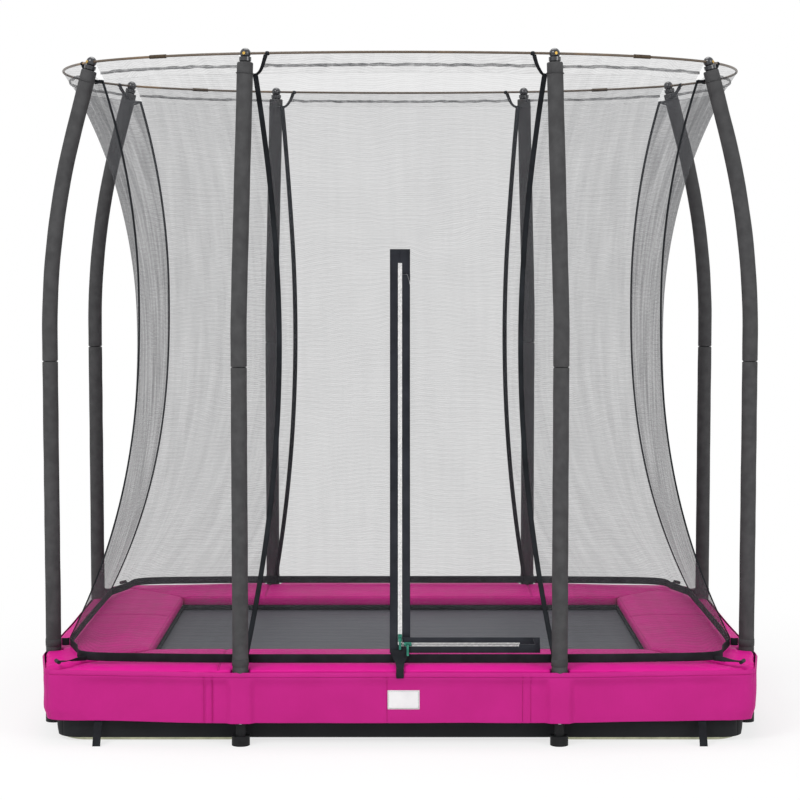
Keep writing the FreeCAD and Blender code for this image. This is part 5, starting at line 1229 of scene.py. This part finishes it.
def skirt_shift(kind, sign, run, z):
    """How far the skirt stands out of its plain line."""
    place, _ = skirt_spot(kind, run)
    a = abs(place.x)
    left = skirt_end(kind) - abs(run)
    near = smooth((abs(a - POLE_SPOT[kind][0]) - 25) / 22)
    calm = smooth((left - 30) / 130)
    top = 1.4 - 5.0 * (1 - smooth(a / SHOULDER[kind])) - 4.0 * smooth((z - 222) / 7)
    below = smooth((216 - z) / 30)
    hang = 1.5 - 13.0 * near * calm
    x, y = on_side(kind, sign, place.x, place.y).xy
    hang += min(ripples(x / 150.0, y / 150.0, z / 260.0) * 2.4, 1.2) * near
    crease = ripples(x / 34.0, y / 34.0, z / 75.0) * 3.4 + ripples(x / 90.0, y / 90.0, z / 60.0) * 2.0
    hang += (crease - 1.6) * (1 - smooth(left / 190)) * smooth((214 - z) / 24)
    tuck = 12.0 * (1 - smooth(left / 150)) * smooth((110 - z) / 40)
    return top * (1 - below) + hang * below - tuck


def on_skirt(x, z, lift):
    """A point that stands out of the plain face of the front skirt."""
    return V(x, -(FULL["front"] + skirt_shift("front", -1, x, z) + lift), z)


def skirt_sheet(label, kind, sign):
    seams = FRONT_SEAMS if label == "front" else ()
    end = skirt_end(kind)
    stops = [-end]
    while stops[-1] < end:
        along = stops[-1]
        close = abs(abs(along) - POLE_SPOT[kind][0]) < 70 or abs(along) > end - 150
        step = 5.0 if close else 12.0
        if any(abs(along - seam) < 20 for seam in seams):
            step = 2.5
        stops.append(min(along + step, end))
    outer, inner = [], []
    for z in SKIRT_LEVELS:
        outer.append([])
        inner.append([])
        thick = 0.7 if z < 72 or z > 229 else (1.5 if z < 79 else 1.3)
        for run in stops:
            place, out = skirt_spot(kind, run)
            shift = skirt_shift(kind, sign, run, z)
            x, y = on_side(kind, sign, place.x, place.y).xy
            droop = 1.8 * ripples(x / 210.0, y / 210.0, 4.4) * smooth((140 - z) / 60)
            sunk = 1.3 * exp(-((z - SKIRT_SEAM) / 1.3) ** 2)
            for seam in seams:
                sunk += 1.6 * exp(-((run - seam) / 3.6) ** 2) * smooth((226 - z) / 6)
            for rows, depth in ((outer, shift + thick - sunk), (inner, shift - thick * 0.4 - sunk)):
                spot = place + out * depth
                rows[-1].append(on_side(kind, sign, spot.x, spot.y, z + droop))
    item = shell("skirt_" + label, outer, inner, "skirt_cloth")
    pile = Pile()
    line = []
    for run in stops[2:-2]:
        place, out = skirt_spot(kind, run)
        spot = place + out * (skirt_shift(kind, sign, run, SKIRT_SEAM) + 0.3)
        line.append(on_side(kind, sign, spot.x, spot.y, SKIRT_SEAM))
    pile.tube(line, 0.7, 5)
    for seam in seams:
        pile.tube([on_skirt(seam, z, -0.1) for z in range(76, 212, 6)], 0.8, 5)
    stitches = pile.make("skirt_stitches_" + label, "thread_pink")
    settle(item, "skirt_cloth", ["skirt"])
    settle(stitches, "thread_pink", ["skirt"])


for label, kind, sign in SIDES:
    skirt_sheet(label, kind, sign)

columns, levels = steps_between(-38.0, 60.0, 14), steps_between(114.5, 173.5, 8)
rows = [[on_skirt(x, z, 2.1 if x in (columns[0], columns[-1]) or z in (levels[0], levels[-1]) else 2.4)
         for x in columns] for z in levels]
settle(shell("blank_label", rows, [[p + V(0, 0.5, 0) for p in row] for row in rows], "label_cloth"), "label_cloth")
pile = Pile()
for z0, z1, x0, x1 in ((117, 117, -35, 57), (171, 171, -35, 57), (117, 171, -35, -35), (117, 171, 57, 57)):
    for i in range(24):
        pile.tube([on_skirt(x0 + (x1 - x0) * t, z0 + (z1 - z0) * t, 2.6) for t in (i / 24, (i + 0.62) / 24)], 0.35, 4)
settle(pile.make("label_stitches", "thread_grey"), "thread_grey")


# Ground cover: a black sheet down to the ground round the frame

COVER_OUT = 1.4         # outside the frame's outer face
COVER_BEND = 72.4


def cover_line(kind, sign):
    """The cover's plan line for one side, out to the mitre, with rounded corners."""
    out = HALF_FRAME[kind] + COVER_OUT
    straight = HALF_FRAME["side" if kind == "front" else "front"] + COVER_OUT - COVER_BEND
    corner = [(straight + COVER_BEND * cos(t), out - COVER_BEND + COVER_BEND * sin(t))
              for t in (radians(90 - 45 * i / 8) for i in range(1, 9))]
    line = [(-a, o) for a, o in corner[::-1]] + [(a, out) for a in steps_between(-straight, straight, 150)] + corner
    return [on_side(kind, sign, a, o) for a, o in line]


def cover_bulge(kind, sign, along, z):
    near = smooth((abs(abs(along) - POLE_SPOT[kind][0]) - 30) / 60)
    calm = smooth((z - 12) / 20) * smooth((199 - z) / 30)
    wave = 0.5 + 0.5 * ripples(along / 60.0, z / 300.0, sign * 3 + (0 if kind == "front" else 9))
    fold = max(ripples(along / 22.0, z / 420.0, 4 + sign), 0) * 3.2
    return (wave * 5.5 + fold) * near * calm


COVER_LEVELS = [12.2, 13.4, 17, 26, 40, 55, 75, 95, 115, 135, 155, 175, 190, 197.6, 198.6]
for label, kind, sign in SIDES:
    line = cover_line(kind, sign)
    outs = [outward(*beside(line, i)) for i in range(len(line))]
    faces = []
    for side in (1, -1):
        faces.append([])
        for z in COVER_LEVELS:
            row = []
            for i, point in enumerate(line):
                end = smooth((len(line) / 2 - abs(i - len(line) / 2)) / 6)
                bulge = cover_bulge(kind, sign, point.x if kind == "front" else point.y, z) * end
                row.append(point + outs[i] * (0.6 * side + bulge) + V(0, 0, z))
            faces[-1].append(row)
    item = shell("cover_" + label, faces[0], faces[1], "cover_cloth")
    cutter = Pile()
    for side in (-1, 1):
        for z in (75.0, 106.0):
            ring = [(POLE_SPOT[kind][0] * side + 13.6 * cos(t), z + 13.6 * sin(t)) for t in around(24)]
            cutter.loft([[on_side(kind, sign, a, out, h) for a, h in ring]
                         for out in (HALF_FRAME[kind] - 25, HALF_FRAME[kind] + 35)])
    cut(item, cutter, "black_webbing")
    smoothed(item)
    settle(item, "cover_cloth", ["ground_cover"])
    half = (1070.0 if kind == "front" else 765.0) * 2 * MM


# Jumping mat with its border webbing, ring tabs and rows of stitches

MAT_EDGE = {"front": 540.0, "side": 845.0}      # half sizes, out from the middle


def mat_outline(grow, count=10):
    long, wide, bend = MAT_EDGE["side"] + grow, MAT_EDGE["front"] + grow, 60.0 + grow
    return [((long - bend) * cx + bend * cos(t), (wide - bend) * cy + bend * sin(t))
            for cx, cy, first in ((1, 1, 0), (-1, 1, 90), (-1, -1, 180), (1, -1, 270))
            for t in (radians(first + 90 * i / count) for i in range(count + 1))]


def mat_loop(grow, z, count=6, scale=1.0):
    return [V(x * scale, y * scale, z - (1 - scale) * 2.0) for x, y in mat_outline(grow, count)]


def way_normals(line, side):
    """Normals of a strap's line that runs across its side direction."""
    return [(after - before).normalized().cross(side).normalized()
            for before, after in (beside(line, i) for i in range(len(line)))]


# Name, kind and sign of the side and place along it of each spring
SPRING_SPOTS = []
for sign in (-1, 1):
    left, front = words(sign, sign)
    SPRING_SPOTS += [(front, "front", sign, along) for along in steps_between(-770.0, 770.0, 14)]
    SPRING_SPOTS += [(left, "side", sign, along) for along in steps_between(-465.0, 465.0, 8)]

# The tab round each ring: out from the mat's edge, and height
TAB_LINE = ((-26, 188.6), (-10, 188.6), (-1, 188.4), (5, 187.6), (7.0, 184.5), (5, 181.8), (-1, 181.4), (-12, 181.6))
EDGE_LOOPS = ((-1.2, 183.0), (0.0, 183.6), (0.0, 185.3), (-1.2, 185.9), (-30.0, 185.9))
sections = [mat_loop(-30.0, 183.0, scale=scale) for scale in (0.25, 0.5, 0.75)]
sections += [mat_loop(grow, z) for grow, z in EDGE_LOOPS]
sections += [mat_loop(-30.0, 185.9, scale=scale) for scale in (0.75, 0.5, 0.25)]
sheet_of_mat = tidy(lofted(sections).make("jumping_mat", "mat_weave"))
pile = lofted([[V(ox * (1 - t) + ix * t, oy * (1 - t) + iy * t, z) for t, z in
                ((0, 186.0), (0, 187.4), (0.1, 187.8), (0.9, 187.8), (1, 187.3), (1, 186.0))]
               for (ox, oy), (ix, iy) in zip(mat_outline(-0.6), mat_outline(-32.0))], ring=True)
for label, kind, sign, along in SPRING_SPOTS:
    base = on_side(kind, sign, along, MAT_EDGE[kind])
    way = on_side(kind, sign, 0, 1)
    side = V(-way.y, way.x)
    line = [base + way * out + V(0, 0, z) for out, z in TAB_LINE]
    pile.ribbon(line, side, [-normal for normal in way_normals(line, side)], 18.0, 1.4)
border = tidy(pile.make("mat_border", "black_webbing"))
pile = Pile()
for grow in (-6.0, -13.0, -20.0, -27.0):
    pile.tube([V(x, y, 188.0) for x, y in mat_outline(grow)], 0.55, 5, ring=True)
mat_stitches = pile.make("mat_stitches", "thread_grey")
for item, look in ((sheet_of_mat, "mat_weave"), (border, "black_webbing"), (mat_stitches, "thread_grey")):
    settle(item, look, ["mat"], "mat")


# Springs, wound, each side one piece that runs from the frame to the mat

COIL_START, COIL_LENGTH, COIL_RADIUS = 39.3, 119.7, 7.25
TURNS, GRAIN = 27, 10
# Out from the mat's edge, across and up
MAT_HOOK = [(11.5, 0, -3.4), (10.2, 0, -0.6), (12.5, 0, 1.4), (18, 0, 0.6), (28, 0, 0), (36, 0, 0), (39.3, 7.2, 0)]
FRAME_HOOK = [(159, 7.2, 0), (162, 0, 0), (172, 0, 0), (185.3, 0, 0), (191.3, 0, -0.4), (193.5, 0, -4.4)]
for name, kind, sign in SIDES:
    pile = Pile()
    for label, _, _, along in SPRING_SPOTS:
        if label != name:
            continue
        base = on_side(kind, sign, along, MAT_EDGE[kind], 188.55)
        way = on_side(kind, sign, 0, 1)
        side = V(-way.y, way.x)
        coil = [(COIL_START + COIL_LENGTH * i / (TURNS * GRAIN), COIL_RADIUS * cos(2 * pi * i / GRAIN),
                 COIL_RADIUS * sin(2 * pi * i / GRAIN)) for i in range(TURNS * GRAIN + 1)]
        for wire, sides in ((MAT_HOOK, 6), (coil, 5), (FRAME_HOOK, 6)):
            pile.tube([base + way * out + side * across + V(0, 0, rise) for out, across, rise in wire], 1.75, sides)
    group = tidy(pile.make("springs_" + name, "spring_steel"))
    start, end = (on_side(kind, sign, 0, (MAT_EDGE[kind] + out) * MM, 0.1885) for out in (180, 15))
    settle(group, "spring_steel", ["springs"], joined=("frame", "mat", start, end))


# Webbing: loops round the poles, corner straps, the tab and strap at the door and the two ground straps

STRAP_HEIGHT = 258.5
pile = Pile()
loops = Pile()
for pole, sx, sy in TOPS:
    foot = on_side(pole, 1, *POLE_SPOT[pole], STRAP_HEIGHT)
    seam = SEAM[pole](LOW)
    centre, seam = flipped([foot, V(seam.x, seam.y, STRAP_HEIGHT)], sx, sy)
    way = (seam - centre).normalized()
    profile = ((25.2, -11.6), (25.7, -11.2), (26.1, 0), (25.7, 11.2), (25.2, 11.6))
    loops.loft([[centre + V(cos(t), sin(t)) * r + V(0, 0, h + sin(t)) for r, h in profile] for t in around(40)],
               ring=True)
    reach = (seam - centre).length - 27.4
    line = [centre + way * (26.6 + reach * i / 8) + V(0, 0, -1.2 * sin(pi * i / 8)) for i in range(9)]
    pile.ribbon(line, UP, [way.cross(UP)] * 9, 24.0, 1.8)
for sx, sy in SIGNS:
    corner, toggle = flipped([corner_middle(LOW), V(1063.0, 758.0)], sx, sy)
    corner.z = 0
    way = (toggle - corner).normalized()
    across = V(-way.y, way.x)
    start, end = corner + way * 0.9, toggle - way * 6.6
    sections = []
    for i in range(11):
        point = start.lerp(end, i / 10) + V(0, 0, 252.0 - 4.0 * smooth(i / 8))
        wide = 17.0 + 6.0 * smooth((i - 6) / 4)
        twist = 1.35 * (1 - smooth(i / 9))
        side = across * cos(twist) + UP * sin(twist)
        out = side.cross(way)
        sections.append([point + side * (s * wide) + out * h for s, h in
                         ((-0.5, 0.0), (-0.45, 0.9), (0.45, 0.9), (0.5, 0.0), (0.45, -0.9), (-0.45, -0.9))])
    pile.loft(sections)
band_y = wall_y(LOW) + 0.9
tab = [V(0, -band_y - (818.0 - band_y) * i / 10, 244.9 - 0.4 * sin(pi * i / 10)) for i in range(11)]
pile.ribbon(tab, RIGHT, [UP] * 11, 24.0, 1.7)
# The strap over the pad's roll: out from the middle, height, half width
flap = [(759.6, 286, 31), (763.2, 276, 30), (765.6, 266, 26), (769.0, 257, 21), (778.0, 250.5, 16),
        (796.0, 247.6, 13), (818.0, 246.2, 12), (827.0, 244.4, 12), (833.0, 240.6, 12), (837.4, 234.5, 12),
        (839.4, 227.0, 12), (840.2, 219.5, 12), (839.6, 212.5, 11)]
sections = []
for i, (out, z, half) in enumerate(flap):
    before, after = beside(flap, i)
    along = Vector((after[0] - before[0], after[1] - before[1])).normalized()
    lift = V(0, along.y, along.x) * 0.7
    sections.append([V(0, -out, z) + V(half * k, 0) + lift * m for k, m in
                     ((-1, 0), (-0.9, 1), (0.9, 1), (1, 0), (0.9, -1), (-0.9, -1))])
pile.loft(sections)
GROUND_STRAP = 934.0
for side in (-1, 1):
    hem = outer_line("front", GROUND_STRAP + 12.5) - 16.0
    profile = [(hem, 121.0), (hem, 96.0), (hem, 75.0), (hem - 0.3, 69.0)]
    for t in steps_between(0, 1, 10)[1:]:
        profile.append((hem + (839.0 - hem) * t + 3.0 * sin(pi * t), 69.0 - 68.0 * t))
    line = [V(GROUND_STRAP * side, -out, z) for out, z in profile]
    pile.ribbon(line, RIGHT, way_normals(line, RIGHT), 24.6, 1.6)
pile.put("straps", "black_webbing", "webbing_straps")
loops.put("pole_loops", "loop_webbing", "webbing_straps")


# The CAD pieces that stay get their finish here

for part in frame["record"]["subparts"]:
    item = frame["nodes"][part["node"]]
    look = LOOKS.get(part["material_slot"])
    if look:
        if not item.data.materials:
            item.data.materials.append(look.material)
        for index in range(len(item.data.materials)):
            item.data.materials[index] = look.material
        for face in item.data.polygons:
            face.material_index = 0


# Floor, light and camera

WHITE = (1, 1, 1, 1)

floor_mesh = bpy.data.meshes.new("floor")
floor_mesh.from_pydata([(-40, -40, 0), (40, -40, 0), (40, 60, 0), (-40, 60, 0)], [], [(0, 1, 2, 3)])
floor = link("floor", floor_mesh)
paper = Look("paper", 0.9)
paper.set("Base Color", (0.93, 0.93, 0.93, 1))
paper.set(GLOSS, 0.0)
glow = paper.node("ShaderNodeEmission", {"Color": WHITE, "Strength": 1.0})
distance = paper.node("ShaderNodeVectorMath", {0: paper.coordinates.outputs["Object"]}, operation="LENGTH")
fade = paper.span(distance.outputs["Value"], 1.3, 2.3, 0.72, 1.0)
paper.shown(paper.math("MULTIPLY", paper.seen(), fade), paper.shader, glow, paper.tree.nodes["Material Output"])
floor_mesh.materials.append(paper.material)

world = bpy.data.worlds.new("world")
bpy.context.scene.world = world
world.use_nodes = True
world.node_tree.nodes.clear()
room = Graph(world.node_tree)
sky, white = (room.node("ShaderNodeBackground", {"Color": WHITE, "Strength": strength}) for strength in (0.56, 1.0))
room.shown(room.seen(), sky, white, room.node("ShaderNodeOutputWorld"))

for name, place, aim, power, size in (("key", (-3.5, -5.0, 5.5), (0, 0, 0.9), 230, 3.0),
                                      ("fill", (4.5, -4.5, 3.5), (0, 0, 0.9), 98, 3.0),
                                      ("top", (0, 1.0, 6.5), (0, 0, 0), 142, 4.0)):
    light = bpy.data.lights.new(name, "AREA")
    light.energy = power
    light.shape = "DISK"
    light.size = size
    lamp = link(name, light)
    lamp.location = place
    lamp.rotation_euler = (Vector(aim) - Vector(place)).to_track_quat("-Z", "Y").to_euler()

lens = bpy.data.cameras.new("camera")
lens.lens = 92.58
lens.sensor_width = 36.0
lens.clip_end = 200.0
camera = link("camera", lens)
camera.location = (0, -7.0666, 1.5334)
camera.rotation_euler = (radians(90 - 4.268), 0, 0)
bpy.context.scene.camera = camera
bpy.context.scene.view_settings.view_transform = "Standard"
